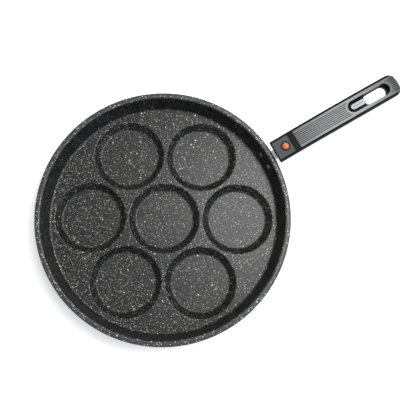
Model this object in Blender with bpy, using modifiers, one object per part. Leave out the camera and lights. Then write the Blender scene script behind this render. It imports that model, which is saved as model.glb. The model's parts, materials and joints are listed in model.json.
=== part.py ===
"""Pancake pan with seven round wells and a detachable handle with a push-button latch.

The pan is one aluminium casting. A steel bracket, riveted to a flat pad on the wall, ends
in a tongue with a window. The handle has a steel sleeve for that tongue. A leaf spring
under the sleeve has a lanced tooth that catches in the window, and the orange button has
two legs that straddle the sleeve and push the leaf's wings, and so the tooth, down.

Axes: +Z is up and +X runs along the handle. The origin is the pan's centre, on the plane
that the pan stands on. The handle is built in its own frame, the empty handle_frame: x runs
outward under the front face's upper edge, z is up from the middle of the tongue's thickness.
"""

import math

import bmesh
import bpy
from mathutils import Matrix, Vector

MM = 0.001

# Fits between separate pieces
GAP = 0.3 * MM                  # clearance of a seated or sliding piece
MERGE = 0.01 * MM               # distance under which two vertices are one

# Pan: rim and wall
RIM_RADIUS = 130.0 * MM
RIM_WIDTH = 6.0 * MM            # top of the rim, from its outer edge to the inner wall
RIM_BEAD = 3.2 * MM             # straight height of the thick rim on the outside
RIM_BEAD_TAPER = 2.7 * MM       # height over which the thick rim runs into the wall
RIM_ROUNDING = 2.4 * MM
BEAD_ROUNDING = 0.8 * MM
WALL = 3.6 * MM                 # measured level, across the wall
WALL_FLARE = 5.0 * MM           # how far the inner wall leans out between land and rim
SIDE_DEPTH = 22.0 * MM          # from the rim down to the land between the wells
LAND_THICKNESS = 3.6 * MM
LAND_FILLET = 2.6 * MM          # corner between the land and the inner wall
BASE_FILLET = 4.5 * MM          # corner between the wall and the underside

# Pan: wells and the feet under them
WELL_DEPTH = 8.0 * MM
WELL_FLOOR = 4.0 * MM           # thickness under a well
WELL_SLOPE = 6.3 * MM           # how much smaller a well's floor is than its mouth, in radius
WELL_WEB = 3.2 * MM             # land between two neighbouring wells
WELL_MARGIN = 5.1 * MM          # land between an outer well and the wall
WELL_LIP = 1.5 * MM             # rounding of a well's upper edge
LIP_RISE = 0.15 * MM            # a well's cutter starts this far above the land
WELL_FILLET = 2.6 * MM          # rounding of a well's lower edge
CUP_WALL = 3.4 * MM             # thickness of the sloping wall round a well
CUP_ROOT = 1.2 * MM             # how far a cup reaches into the land above it
FOOT_CHAMFER = 0.8 * MM
OUTER_WELLS = 6

# Bracket on the wall
BRACKET_SHEET = 2.4 * MM
BRACKET_WIDTH = 30.0 * MM
BRACKET_BELOW = 7.5 * MM        # plate below the rivets
BRACKET_ABOVE = 3.5 * MM        # shoulders above the rivets
BRACKET_CORNER = 3.6 * MM
BRACKET_NECK = 1.2 * MM         # fillet between the shoulders and the tongue
BRACKET_BEND = 2.6 * MM         # bend radius on the middle of the sheet
BOSS_RAISE = 1.2 * MM           # flat pad cast on the wall, measured at its middle
BOSS_BORDER = 1.5 * MM          # pad beyond the bracket's edge
RIVET_DROP = 11.3 * MM          # rivets below the top of the rim
RIVET_SPACING = 15.0 * MM
RIVET_RADIUS = 2.0 * MM
RIVET_HEAD_RADIUS = 3.6 * MM
RIVET_HEAD_HEIGHT = 1.7 * MM
RIVET_TAIL_RADIUS = 2.8 * MM
RIVET_TAIL_HEIGHT = 1.5 * MM

# Tongue, sleeve and latch leaf
TONGUE_WIDTH = 10.0 * MM
TONGUE_REACH = 20.5 * MM        # end of the tongue, from the handle's origin
TONGUE_NOSE = 2.0 * MM          # chamfer on the nose's corners
TOOTH_TIP = 14.6 * MM           # locking edge of the tooth, from the handle's origin
TOOTH_WIDTH = 4.0 * MM
TOOTH_RUN = 4.5 * MM            # length of the tooth's ramp, seen from above
TOOTH_ENGAGE = 0.8 * MM         # tip of the tooth above the middle of the tongue
TOOTH_PLAY = 0.6 * MM           # clearance round the tooth in sleeve and tongue
SLEEVE_SUNK = 0.3 * MM          # front edge of the sleeve behind the handle's front face
SLEEVE_SHEET = 0.8 * MM
SLEEVE_STRAP_END = 40.0 * MM
SLEEVE_EAR_START = 33.0 * MM
SLEEVE_EAR_ROUNDING = 1.6 * MM
LEAF_SHEET = 0.4 * MM
LEAF_FRONT = 8.4 * MM
LEAF_REAR = 32.4 * MM
LEAF_RAIL = 1.8 * MM            # strip of leaf on each side of the lanced opening
LEAF_NECK = 2.5 * MM            # half width of the bending part
LEAF_PAD = 5.0 * MM             # half width round the rivet
LEAF_PAD_LENGTH = 6.0 * MM
LEAF_TAPER = 1.4 * MM           # length of the slanted shoulder before the pad
LEAF_NOSE = 0.5 * MM            # how much narrower the leaf's front end is
LEAF_RIVET_AT = 29.2 * MM
LEAF_RIVET_RADIUS = 1.2 * MM
LEAF_RIVET_HEAD = 2.3 * MM
LEAF_RIVET_HEIGHT = 0.9 * MM
PIN_AT = 36.8 * MM
PIN_RADIUS = 1.5 * MM
PIN_SUNK = 0.15 * MM            # pin's ends below the handle's sides

# Button
BUTTON_AT = 12.7 * MM           # from the handle's origin
BUTTON_RADIUS = 3.4 * MM
BUTTON_TRAVEL = 2.8 * MM
BUTTON_PROUD = 0.7 * MM         # cap above the head plate, up to where its dome starts
BUTTON_DOME = 0.9 * MM
BUTTON_SKIRT = 1.1 * MM         # step round the cap, under the plate's top
BUTTON_SKIRT_DROP = 0.5 * MM
BUTTON_LIP = 1.1 * MM           # flange under the plate that keeps the button in
BUTTON_LIP_SHEET = 1.5 * MM
BUTTON_YOKE = 2.2 * MM          # thickness of the cross bar
BUTTON_SPARE = 0.6 * MM         # left under the cross bar when the button is down
BUTTON_LEG = 1.2 * MM           # thickness of a leg, across the handle
BUTTON_LEG_LENGTH = 3.0 * MM    # along the handle

# Handle: outline and sections
HANDLE_START = 2.6 * MM         # handle's origin beyond the rim's edge
HANDLE_LENGTH = 145.4 * MM
HANDLE_RISE = math.radians(11.0)
TONGUE_BELOW_RIM = 6.1 * MM     # middle of the tongue at the handle's origin
LEG_ROOM = 0.7 * MM             # between the button's legs and the handle's inner walls
SHELL = 1.8 * MM
SIDE_HEIGHT = 6.2 * MM          # upright part of the sides; below it they draw in
SIDE_DRAFT = math.radians(7.5)
FRONT_LEAN = math.tan(math.radians(5.5))
FRONT_EDGE = 0.6 * MM           # chamfer round the front face
HEAD_LENGTH = 25.5 * MM
HEAD_TOP = 14.8 * MM
HEAD_BOTTOM = -9.5 * MM
GRIP_FALL = 10.5 * MM           # how far the grip's top bends below the head's by the tip
GRIP_BOTTOM = -4.2 * MM
GRIP_NECK_LENGTH = 26.0 * MM    # over which the head's underside rises to the grip
HEEL_DROP = 1.2 * MM            # swelling of the underside towards the tip
HEEL_START = 75.0 * MM
HEEL_LENGTH = 60.0 * MM
TIP_RUN = 9.6 * MM              # length over which the outline closes, seen from above
TIP_ROLL = 7.0 * MM             # length over which top and bottom close, seen from the side
TIP_DROP = 3.2 * MM
TIP_RISE = 3.0 * MM
TIP_POWER = 2.5                 # how square the tip is: 2 is an ellipse
EDGE_TOP = 2.2 * MM
EDGE_BOTTOM = 5.5 * MM
CAVITY_EDGE = 2.5 * MM          # rounding between the cavity's floor and sides
CAVITY_WALL = 2.4 * MM          # solid between the cavity and the hang slot
LEDGE = 1.6 * MM                # thickness of the ledge that the plate and the panel lie on
LEDGE_WIDTH = 1.6 * MM

# Head plate
PLATE_INSET = 1.5 * MM          # from the front face's upper edge
PLATE_LENGTH = 17.8 * MM
PLATE_BORDER = 2.4 * MM         # from the plate's edge to the handle's side
PLATE_SHEET = 1.3 * MM
PLATE_SUNK = 0.2 * MM
PLATE_EDGE = 0.35 * MM
PLATE_CORNER = 0.8 * MM
HOOK_SHEET = 0.9 * MM           # snap hooks under the plate
HOOK_CATCH = 0.8 * MM
HOOK_DEPTH = 1.4 * MM
HOOK_WIDTH = 2.4 * MM
HOOK_INSET = 2.4 * MM           # from the plate's edge to a hook's middle

# Grip panel
PANEL_BORDER = 2.4 * MM         # from the panel's edge to the handle's side
PANEL_SHEET = 2.2 * MM
PANEL_PROUD = 0.2 * MM
PANEL_EDGE = 0.45 * MM
GROOVES = 8
GROOVE_PITCH = 1.85 * MM
GROOVE_WIDTH = 0.85 * MM
GROOVE_DEPTH = 0.55 * MM
GROOVE_COLLAR = 2.0 * MM        # smooth band round the hang slot

# Hang slot
SLOT_TO_TIP = 10.8 * MM         # from the slot's far end to the handle's tip
SLOT_LENGTH = 48.5 * MM
SLOT_WIDTH = 12.4 * MM
SLOT_STEP = 0.2 * MM            # each step of the slot's wall is this much smaller
SLOT_FLOOR_DEPTH = 8.6 * MM     # floor beside the spine, under the top at the hole
SLOT_LEDGE_DEPTH = 7.0 * MM     # ledge at the far end, under the top there
SLOT_LEDGE_START = 0.9 * MM     # outer edge of the ledge, short of the slot's far end
HOLE_TO_SLOT_END = 3.1 * MM     # the hole's far end, short of the slot's
HOLE_LENGTH = 25.5 * MM
SPINE_FROM_END = 3.7 * MM       # near end of the spine, beyond the slot's near end
SPINE_WIDTH = 5.7 * MM
SPINE_SUNK = 2.2 * MM           # top of the spine's near end below the panel
SPINE_FALL = 3.4 * MM           # how much lower its far end is
SPINE_EDGE = 0.6 * MM
SPINE_GROOVE = 0.7 * MM
SPINE_PEG_FROM_END = 6.0 * MM   # from the spine's near end
SPINE_PEG_RADIUS = 1.2 * MM
SPINE_PEG_LENGTH = 1.6 * MM

# Housing screws
FRONT_SCREW_BEHIND = 6.5 * MM   # front screw beyond the end of the sleeve
REAR_SCREW_BEFORE = 7.8 * MM    # rear screw short of the hang slot
SCREW_RADIUS = 1.3 * MM
SCREW_REACH = 4.6 * MM          # shank inside the panel's boss
SCREW_HEAD_RADIUS = 2.7 * MM
SCREW_HEAD_HEIGHT = 1.8 * MM
SCREW_SINK = 3.4 * MM           # depth of the counterbore
SCREW_CROSS = 0.8 * MM          # width of the cross recess
SCREW_CROSS_DEPTH = 0.9 * MM
BOSS_WALL = 1.4 * MM            # plastic round the counterbore
BOSS_MEET = 3.6 * MM            # height at which the two bosses meet
PANEL_BOSS_RADIUS = 3.0 * MM
PANEL_BOSS_SKIN = 1.0 * MM      # panel left over the end of a screw's hole

# Facets
PAN_STEPS = 66
WELL_STEPS = 32
SMALL_STEPS = 16
SLOT_STEPS = 9                  # facets of a slot's half round end
CAP_STEPS = 3
ARC_STEP = math.radians(30.0)
CORNER_STEPS = 3                # facets of a moulding's rounded edge
EDGE_STEPS = 2                  # facets of the panel's rounded edge
LONG = 60.0 * MM                # cutters reach this far past what they cut
ROOT = 1.0 * MM                 # joined shapes reach this far into each other

# Values that follow
LAND_Z = WELL_FLOOR + WELL_DEPTH
RIM_Z = LAND_Z + SIDE_DEPTH
UNDER_Z = LAND_Z - LAND_THICKNESS
LAND_RADIUS = RIM_RADIUS - RIM_WIDTH - WALL_FLARE
WELL_RADIUS = (LAND_RADIUS - WELL_WEB - WELL_MARGIN) / 3.0
WELL_PITCH = 2.0 * WELL_RADIUS + WELL_WEB
DRAFT = math.atan2(WALL_FLARE, SIDE_DEPTH)
RIVET_Z = RIM_Z - RIVET_DROP
BOSS_FACE = WALL * math.cos(DRAFT) + BOSS_RAISE
BRACKET_MIDDLE = BOSS_FACE + GAP + BRACKET_SHEET / 2.0
HANDLE_X = RIM_RADIUS + HANDLE_START
HANDLE_Z = RIM_Z - TONGUE_BELOW_RIM
SLEEVE_IN_HALF = BRACKET_SHEET / 2.0 + GAP
SLEEVE_OUT_HALF = SLEEVE_IN_HALF + SLEEVE_SHEET
SLEEVE_IN_SIDE = TONGUE_WIDTH / 2.0 + GAP
SLEEVE_OUT_SIDE = SLEEVE_IN_SIDE + SLEEVE_SHEET
SLEEVE_STOP = TONGUE_REACH + GAP
LEAF_TOP = -SLEEVE_OUT_HALF - GAP
LEAF_BOTTOM = LEAF_TOP - LEAF_SHEET
TOOTH_ROOT = TOOTH_TIP - TOOTH_RUN
LEG_INSIDE = SLEEVE_OUT_SIDE + GAP
LEG_OUTSIDE = LEG_INSIDE + BUTTON_LEG
LEG_END = LEAF_TOP + GAP
YOKE_LOW = SLEEVE_OUT_HALF + BUTTON_TRAVEL + BUTTON_SPARE
YOKE_HIGH = YOKE_LOW + BUTTON_YOKE
PRESSED_LEG_END = LEG_END - BUTTON_TRAVEL
WAIST_DRAW = (HEAD_TOP - SIDE_HEIGHT - PRESSED_LEG_END) * math.tan(SIDE_DRAFT)
HANDLE_WIDTH = 2.0 * (LEG_OUTSIDE + LEG_ROOM + WAIST_DRAW + SHELL)
PLATE_WIDTH = HANDLE_WIDTH - 2.0 * PLATE_BORDER
PANEL_WIDTH = HANDLE_WIDTH - 2.0 * PANEL_BORDER
PANEL_START = HEAD_LENGTH + GAP
SLEEVE_FRONT = FRONT_LEAN * (HEAD_TOP + SLEEVE_OUT_HALF) + SLEEVE_SUNK
SKIRT_RADIUS = BUTTON_RADIUS + BUTTON_SKIRT
FLANGE_RADIUS = SKIRT_RADIUS + BUTTON_LIP
GRIP_ARC = ((HANDLE_LENGTH - HEAD_LENGTH) ** 2 + GRIP_FALL**2) / (2.0 * GRIP_FALL)
PLATE_TOP = HEAD_TOP - PLATE_SUNK
PLATE_BOTTOM = PLATE_TOP - PLATE_SHEET
PLATE_SEAT = PLATE_BOTTOM - GAP
HEAD_OPENING = (PLATE_INSET + LEDGE_WIDTH, BUTTON_AT + FLANGE_RADIUS + GAP)
SLOT_END = HANDLE_LENGTH - SLOT_TO_TIP
SLOT_START = SLOT_END - SLOT_LENGTH
HOLE_END = SLOT_END - HOLE_TO_SLOT_END
HOLE_START = HOLE_END - HOLE_LENGTH
SPINE_START = SLOT_START + SPINE_FROM_END
SPINE_PEG_AT = SPINE_START + SPINE_PEG_FROM_END
CAVITY_END = SLOT_START - CAVITY_WALL
SCREW_PLACES = {
    "front": SLEEVE_STRAP_END + FRONT_SCREW_BEHIND,
    "rear": SLOT_START - REAR_SCREW_BEFORE,
}


def clear_scene():
    for old in list(bpy.data.objects):
        bpy.data.objects.remove(old, do_unlink=True)


def make_material(name, colour, roughness, metallic=0.0):
    """A Principled BSDF material with one plain finish."""
    material = bpy.data.materials.new(name)
    material.use_nodes = True
    shader = material.node_tree.nodes["Principled BSDF"]
    shader.inputs["Base Color"].default_value = (*colour, 1.0)
    shader.inputs["Roughness"].default_value = roughness
    shader.inputs["Metallic"].default_value = metallic
    return material


def make_frame(name, place, turn):
    """An empty that carries pieces built in its own axes, turned about Y."""
    frame = bpy.data.objects.new(name, None)
    frame.location = place
    frame.rotation_euler = (0.0, turn, 0.0)
    PARTS.objects.link(frame)
    return frame


def shade(mesh):
    """Smooth round faces with crisp edges."""
    mesh.shade_smooth()
    mesh.set_sharp_from_angle(angle=math.radians(35.0))


def tidy_mesh(mesh):
    """Welds loose caps, points the faces outward and shades the mesh."""
    work = bmesh.new()
    work.from_mesh(mesh)
    bmesh.ops.remove_doubles(work, verts=work.verts, dist=MERGE)
    bmesh.ops.recalc_face_normals(work, faces=work.faces)
    work.to_mesh(mesh)
    work.free()
    shade(mesh)


def add_part(name, mesh, material, parent=None):
    """A named piece of the product."""
    part = bpy.data.objects.new(name, mesh)
    part.data.materials.append(material)
    part.parent = parent
    PARTS.objects.link(part)
    return part


def add_cutter(name, mesh, parent=None, place=(0.0, 0.0, 0.0), round_faces=False):
    """A helper solid that cuts, joins or trims. It isn't a piece.

    Its faces are flat, so that the edges that it leaves are crisp, unless it is a round form.
    """
    if not round_faces:
        mesh.shade_flat()
    cutter = bpy.data.objects.new(name, mesh)
    cutter.parent = parent
    cutter.location = place
    cutter.hide_render = True
    cutter.display_type = "WIRE"
    CUTTERS.objects.link(cutter)
    return cutter


def helper_group(name, helpers):
    """Gathers helpers in a collection of their own, for one Boolean."""
    group = bpy.data.collections.new(name)
    CUTTERS.children.link(group)
    for helper in helpers:
        CUTTERS.objects.unlink(helper)
        group.objects.link(helper)
    return group


def boolean(target, operation, helpers):
    """Adds a live Boolean of one helper, or of several at once, to a piece."""
    modifier = target.modifiers.new(operation.lower(), "BOOLEAN")
    modifier.operation = operation
    modifier.solver = "EXACT"
    if len(helpers) == 1:
        modifier.object = helpers[0]
    else:
        modifier.operand_type = "COLLECTION"
        modifier.collection = helper_group(f"{target.name}_{operation.lower()}", helpers)


def rounded(corners):
    """Turns (x, y, radius) corners of an open line into points, with an arc at each radius."""
    points = []
    last = len(corners) - 1
    for index, (x, y, radius) in enumerate(corners):
        here = Vector((x, y))
        if radius == 0.0 or index in (0, last):
            points.append(here)
            continue
        before = (Vector(corners[index - 1][:2]) - here).normalized()
        after = (Vector(corners[index + 1][:2]) - here).normalized()
        turn = math.pi - before.angle(after)
        middle = here + (before + after).normalized() * radius / math.cos(turn / 2.0)
        start = here + before * radius * math.tan(turn / 2.0) - middle
        side = 1.0 if before.cross(after) < 0.0 else -1.0
        steps = max(1, math.ceil(turn / ARC_STEP - 0.01))
        for step in range(steps + 1):
            angle = side * turn * step / steps
            cosine = math.cos(angle)
            sine = math.sin(angle)
            swing = Vector((start.x * cosine - start.y * sine, start.x * sine + start.y * cosine))
            points.append(middle + swing)
    return points


def cap(radius, height, base, up=True):
    """Points of a shallow dome, from its top to its edge, or from edge to bottom if not up."""
    ball = (radius**2 + height**2) / (2.0 * height)
    reach = math.asin(radius / ball)
    points = []
    for step in range(CAP_STEPS + 1):
        angle = reach * step / CAP_STEPS
        lift = ball * math.cos(angle) - (ball - height)
        points.append(Vector((ball * math.sin(angle), base + lift if up else base - lift)))
    return points if up else points[::-1]


def stadium(start, end, half_width):
    """Outline of a slot with round ends, between two x values."""
    points = []
    for centre, first in ((end - half_width, -90.0), (start + half_width, 90.0)):
        for step in range(SLOT_STEPS + 1):
            angle = math.radians(first + 180.0 * step / SLOT_STEPS)
            points.append((centre + half_width * math.cos(angle), half_width * math.sin(angle)))
    return points


def rectangle(start, end, half_width, corner=0.0):
    """Outline of a block between two x values, with its corners rounded if asked."""
    middle = (start + end) / 2.0
    corners = [
        (middle, -half_width, 0.0),
        (end, -half_width, corner),
        (end, half_width, corner),
        (start, half_width, corner),
        (start, -half_width, corner),
        (middle, -half_width, 0.0),
    ]
    return [(point.x, point.y) for point in rounded(corners)[1:]]


def band(line, thickness):
    """Closed outline of a sheet of this thickness whose middle follows the line."""
    over = []
    under = []
    for index, here in enumerate(line):
        into = (here - line[max(index - 1, 0)]).normalized()
        onward = (line[min(index + 1, len(line) - 1)] - here).normalized()
        along = (into + onward).normalized()
        across = Vector((-along.y, along.x))
        stretch = max(abs(across.dot(Vector((-side.y, side.x)))) for side in (into, onward))
        offset = across * thickness / 2.0 / stretch
        over.append(here + offset)
        under.append(here - offset)
    return over + under[::-1]


def take_mesh(source):
    """The evaluated mesh of a construction object, which is then removed."""
    name = source.name
    evaluated = source.evaluated_get(bpy.context.evaluated_depsgraph_get())
    mesh = bpy.data.meshes.new_from_object(evaluated)
    bpy.data.objects.remove(source, do_unlink=True)
    mesh.name = name
    tidy_mesh(mesh)
    return mesh


def turned_mesh(name, points, steps, along_x=False):
    """A solid of revolution about Z, or about X. Its line starts and ends on the axis."""
    line = bpy.data.meshes.new(name)
    edges = [(index, index + 1) for index in range(len(points) - 1)]
    line.from_pydata([(point.x, 0.0, point.y) for point in points], edges, [])
    source = bpy.data.objects.new(name, line)
    bpy.context.scene.collection.objects.link(source)
    screw = source.modifiers.new("turn", "SCREW")
    screw.steps = steps
    screw.render_steps = steps
    screw.use_merge_vertices = True
    screw.merge_threshold = MERGE
    mesh = take_mesh(source)
    if along_x:
        mesh.transform(Matrix(((0, 0, 1, 0), (1, 0, 0, 0), (0, 1, 0, 0), (0, 0, 0, 1))))
    return mesh


def flat_mesh(name, outlines, low, high, across="Z"):
    """Extrudes closed outlines from low to high along Z, or along X or Y.

    Across X an outline holds (y, z) points, across Y it holds (x, z) points.
    """
    curve = bpy.data.curves.new(name, "CURVE")
    curve.dimensions = "2D"
    curve.fill_mode = "BOTH"
    curve.extrude = (high - low) / 2.0
    for outline in outlines:
        spline = curve.splines.new("POLY")
        spline.points.add(len(outline) - 1)
        for point, (x, y) in zip(spline.points, outline):
            point.co = (x, y, 0.0, 1.0)
        spline.use_cyclic_u = True
    source = bpy.data.objects.new(name, curve)
    bpy.context.scene.collection.objects.link(source)
    mesh = take_mesh(source)
    turns = {
        "X": Matrix(((0, 0, 1, 0), (1, 0, 0, 0), (0, 1, 0, 0), (0, 0, 0, 1))),
        "Y": Matrix(((1, 0, 0, 0), (0, 0, -1, 0), (0, 1, 0, 0), (0, 0, 0, 1))),
        "Z": Matrix.Identity(4),
    }
    middle = Vector([(high + low) / 2.0 if axis == across else 0.0 for axis in "XYZ"])
    mesh.transform(Matrix.Translation(middle) @ turns[across])
    return mesh


def box_mesh(name, low, high):
    """A block between two corners."""
    mesh = bpy.data.meshes.new(name)
    work = bmesh.new()
    size = Vector(high) - Vector(low)
    middle = (Vector(high) + Vector(low)) / 2.0
    place = Matrix.Translation(middle) @ Matrix.Diagonal((*size, 1.0))
    bmesh.ops.create_cube(work, size=1.0, matrix=place)
    work.to_mesh(mesh)
    work.free()
    return mesh


def cylinder_mesh(name, radius, low, high, place=(0.0, 0.0), across="Z"):
    """A cylinder from low to high along Z at (x, y), or along Y at (x, z)."""
    mesh = bpy.data.meshes.new(name)
    work = bmesh.new()
    bmesh.ops.create_cone(
        work,
        cap_ends=True,
        segments=SMALL_STEPS,
        radius1=radius,
        radius2=radius,
        depth=high - low,
    )
    work.to_mesh(mesh)
    work.free()
    middle = (high + low) / 2.0
    mesh.transform(Matrix.Rotation(math.pi / SMALL_STEPS, 4, "Z"))
    if across == "Y":
        mesh.transform(Matrix.Rotation(math.radians(90.0), 4, "X"))
        mesh.transform(Matrix.Translation((place[0], middle, place[1])))
    else:
        mesh.transform(Matrix.Translation((place[0], place[1], middle)))
    shade(mesh)
    return mesh


def loft_mesh(name, stations, section, lean=None):
    """Joins the (y, z) sections at each x station, and closes both ends.

    A lean, if there is one, moves the point at x and z along X.
    """
    mesh = bpy.data.meshes.new(name)
    work = bmesh.new()
    rings = []
    for x in stations:
        moved = [(x + lean(x, z) if lean else x, y, z) for y, z in section(x)]
        rings.append([work.verts.new(point) for point in moved])
    for near, far in zip(rings, rings[1:]):
        for index in range(len(near)):
            following = (index + 1) % len(near)
            work.faces.new((near[index], near[following], far[following], far[index]))
    work.faces.new(rings[0])
    work.faces.new(rings[-1])
    work.to_mesh(mesh)
    work.free()
    tidy_mesh(mesh)
    return mesh


def quarter(y, z, radius, first, last, steps):
    """Points of an arc in a section, from one angle to another."""
    points = []
    for step in range(steps + 1):
        angle = first + (last - first) * step / steps
        points.append((y + radius * math.cos(angle), z + radius * math.sin(angle)))
    return points


def mirrored(side):
    """A whole section, from its points at +y, from the lowest to the highest."""
    return side + [(-y, z) for y, z in side[::-1]]


def rounded_section(half_width, low, high, radius):
    """(y, z) points of a plate's section with rounded edges."""
    radius = min(radius, 0.9 * half_width, 0.3 * (high - low))
    y = half_width - radius
    edge = quarter(y, low + radius, radius, -math.pi / 2.0, 0.0, EDGE_STEPS)
    edge += quarter(y, high - radius, radius, 0.0, math.pi / 2.0, EDGE_STEPS)
    return mirrored(edge)


def drafted_section(half_width, low, waist, high, low_radius, high_radius):
    """(y, z) points of a moulding's section: upright down to its waist, then drawing in."""
    low_radius = min(low_radius, 0.5 * half_width, 0.6 * (waist - low))
    high_radius = min(high_radius, 0.5 * half_width, 0.6 * (high - waist))
    drawn = (waist - low - low_radius) * math.tan(SIDE_DRAFT) + low_radius / math.cos(SIDE_DRAFT)
    side = quarter(
        half_width - drawn, low + low_radius, low_radius, -math.pi / 2.0, -SIDE_DRAFT, CORNER_STEPS
    )
    side.append((half_width, waist))
    side += quarter(
        half_width - high_radius, high - high_radius, high_radius, 0.0, math.pi / 2.0, CORNER_STEPS
    )
    return mirrored(side)


def evenly(start, end, most):
    """Stations from start to end, no further apart than most."""
    count = max(1, math.ceil((end - start) / most))
    return [start + (end - start) * index / count for index in range(count + 1)]


def wall_radius(z):
    """Inner radius of the pan's wall at a height."""
    return LAND_RADIUS + WALL_FLARE * (z - LAND_Z) / SIDE_DEPTH


def well_places():
    """The middle well, then the ring, turned so that the handle lies between two wells."""
    places = [(0.0, 0.0, 0.0)]
    for index in range(OUTER_WELLS):
        angle = 2.0 * math.pi * (index + 0.5) / OUTER_WELLS
        places.append((WELL_PITCH * math.cos(angle), WELL_PITCH * math.sin(angle), 0.0))
    return places


def well_cutter_mesh():
    """The space of one well. It starts just over the land, on the line of its first facet."""
    line = rounded([
        (WELL_RADIUS + 4.0 * WELL_LIP, LAND_Z, 0.0),
        (WELL_RADIUS, LAND_Z, WELL_LIP),
        (WELL_RADIUS - WELL_SLOPE, WELL_FLOOR, WELL_FILLET),
        (0.0, WELL_FLOOR, 0.0),
    ])
    lip, below = line[1:3]
    over = lip + (lip - below) * LIP_RISE / (lip.y - below.y)
    return turned_mesh("well_space", [Vector((0.0, over.y)), over, *line[2:]], WELL_STEPS)


def cup_mesh():
    """The sloping wall and flat foot under one well."""
    slope = math.hypot(WELL_SLOPE, WELL_DEPTH)
    lean = WELL_SLOPE / WELL_DEPTH
    outside = WELL_RADIUS + CUP_WALL * slope / WELL_DEPTH
    top = UNDER_Z + CUP_ROOT
    foot = outside - LAND_Z * lean
    corners = [
        (0.0, top, 0.0),
        (outside - (LAND_Z - top) * lean, top, 0.0),
        (foot + FOOT_CHAMFER * lean, FOOT_CHAMFER, 0.0),
        (foot - FOOT_CHAMFER * lean, 0.0, 0.0),
        (0.0, 0.0, 0.0),
    ]
    return turned_mesh("cup", rounded(corners), WELL_STEPS)


def bracket_outline(border, reach):
    """(y, z) outline of the bracket's plate, seen square on, grown by a border."""
    side = BRACKET_WIDTH / 2.0 + border
    top = BRACKET_ABOVE + border
    corner = BRACKET_CORNER + border
    neck = TONGUE_WIDTH / 2.0
    return rounded([
        (-neck, reach, 0.0),
        (-neck, top, BRACKET_NECK),
        (-side, top, corner),
        (-side, -BRACKET_BELOW - border, corner),
        (side, -BRACKET_BELOW - border, corner),
        (side, top, corner),
        (neck, top, BRACKET_NECK),
        (neck, reach, 0.0),
    ])


def rivet_hole_meshes():
    """Clearance holes for both rivets, along X."""
    holes = []
    for side in (-0.5, 0.5):
        hole = turned_mesh(
            "rivet_hole",
            [
                Vector((0.0, LONG)),
                Vector((RIVET_RADIUS + GAP, LONG)),
                Vector((RIVET_RADIUS + GAP, -WALL)),
                Vector((0.0, -WALL)),
            ],
            SMALL_STEPS,
            along_x=True,
        )
        hole.transform(Matrix.Translation((0.0, side * RIVET_SPACING, 0.0)))
        holes.append(hole)
    return holes


def make_pan():
    """One casting: revolved bowl, seven cups joined below, seven wells cut above."""
    bead_foot = RIM_Z - RIM_BEAD - RIM_BEAD_TAPER
    bowl = rounded([
        (0.0, LAND_Z, 0.0),
        (LAND_RADIUS, LAND_Z, LAND_FILLET),
        (RIM_RADIUS - RIM_WIDTH, RIM_Z, RIM_ROUNDING),
        (RIM_RADIUS, RIM_Z, RIM_ROUNDING),
        (RIM_RADIUS, RIM_Z - RIM_BEAD, BEAD_ROUNDING),
        (wall_radius(bead_foot) + WALL, bead_foot, BEAD_ROUNDING),
        (wall_radius(UNDER_Z) + WALL, UNDER_Z, BASE_FILLET),
        (0.0, UNDER_Z, 0.0),
    ])
    pan = add_part("pan_body", turned_mesh("pan_body", bowl, PAN_STEPS), COATING)
    cup = cup_mesh()
    places = well_places()
    joined = [add_cutter("cup", cup, place=place, round_faces=True) for place in places]
    pad = flat_mesh(
        "bracket_pad",
        [bracket_outline(BOSS_BORDER, BRACKET_ABOVE + BOSS_BORDER + ROOT)],
        WALL / 2.0,
        BOSS_FACE,
        across="X",
    )
    joined.append(add_cutter("bracket_pad", pad, BRACKET_FRAME))
    boolean(pan, "UNION", joined)
    space = well_cutter_mesh()
    cut = [add_cutter("well_space", space, place=place, round_faces=True) for place in places]
    cut += [add_cutter("rivet_hole", hole, BRACKET_FRAME) for hole in rivet_hole_meshes()]
    boolean(pan, "DIFFERENCE", cut)


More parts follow.
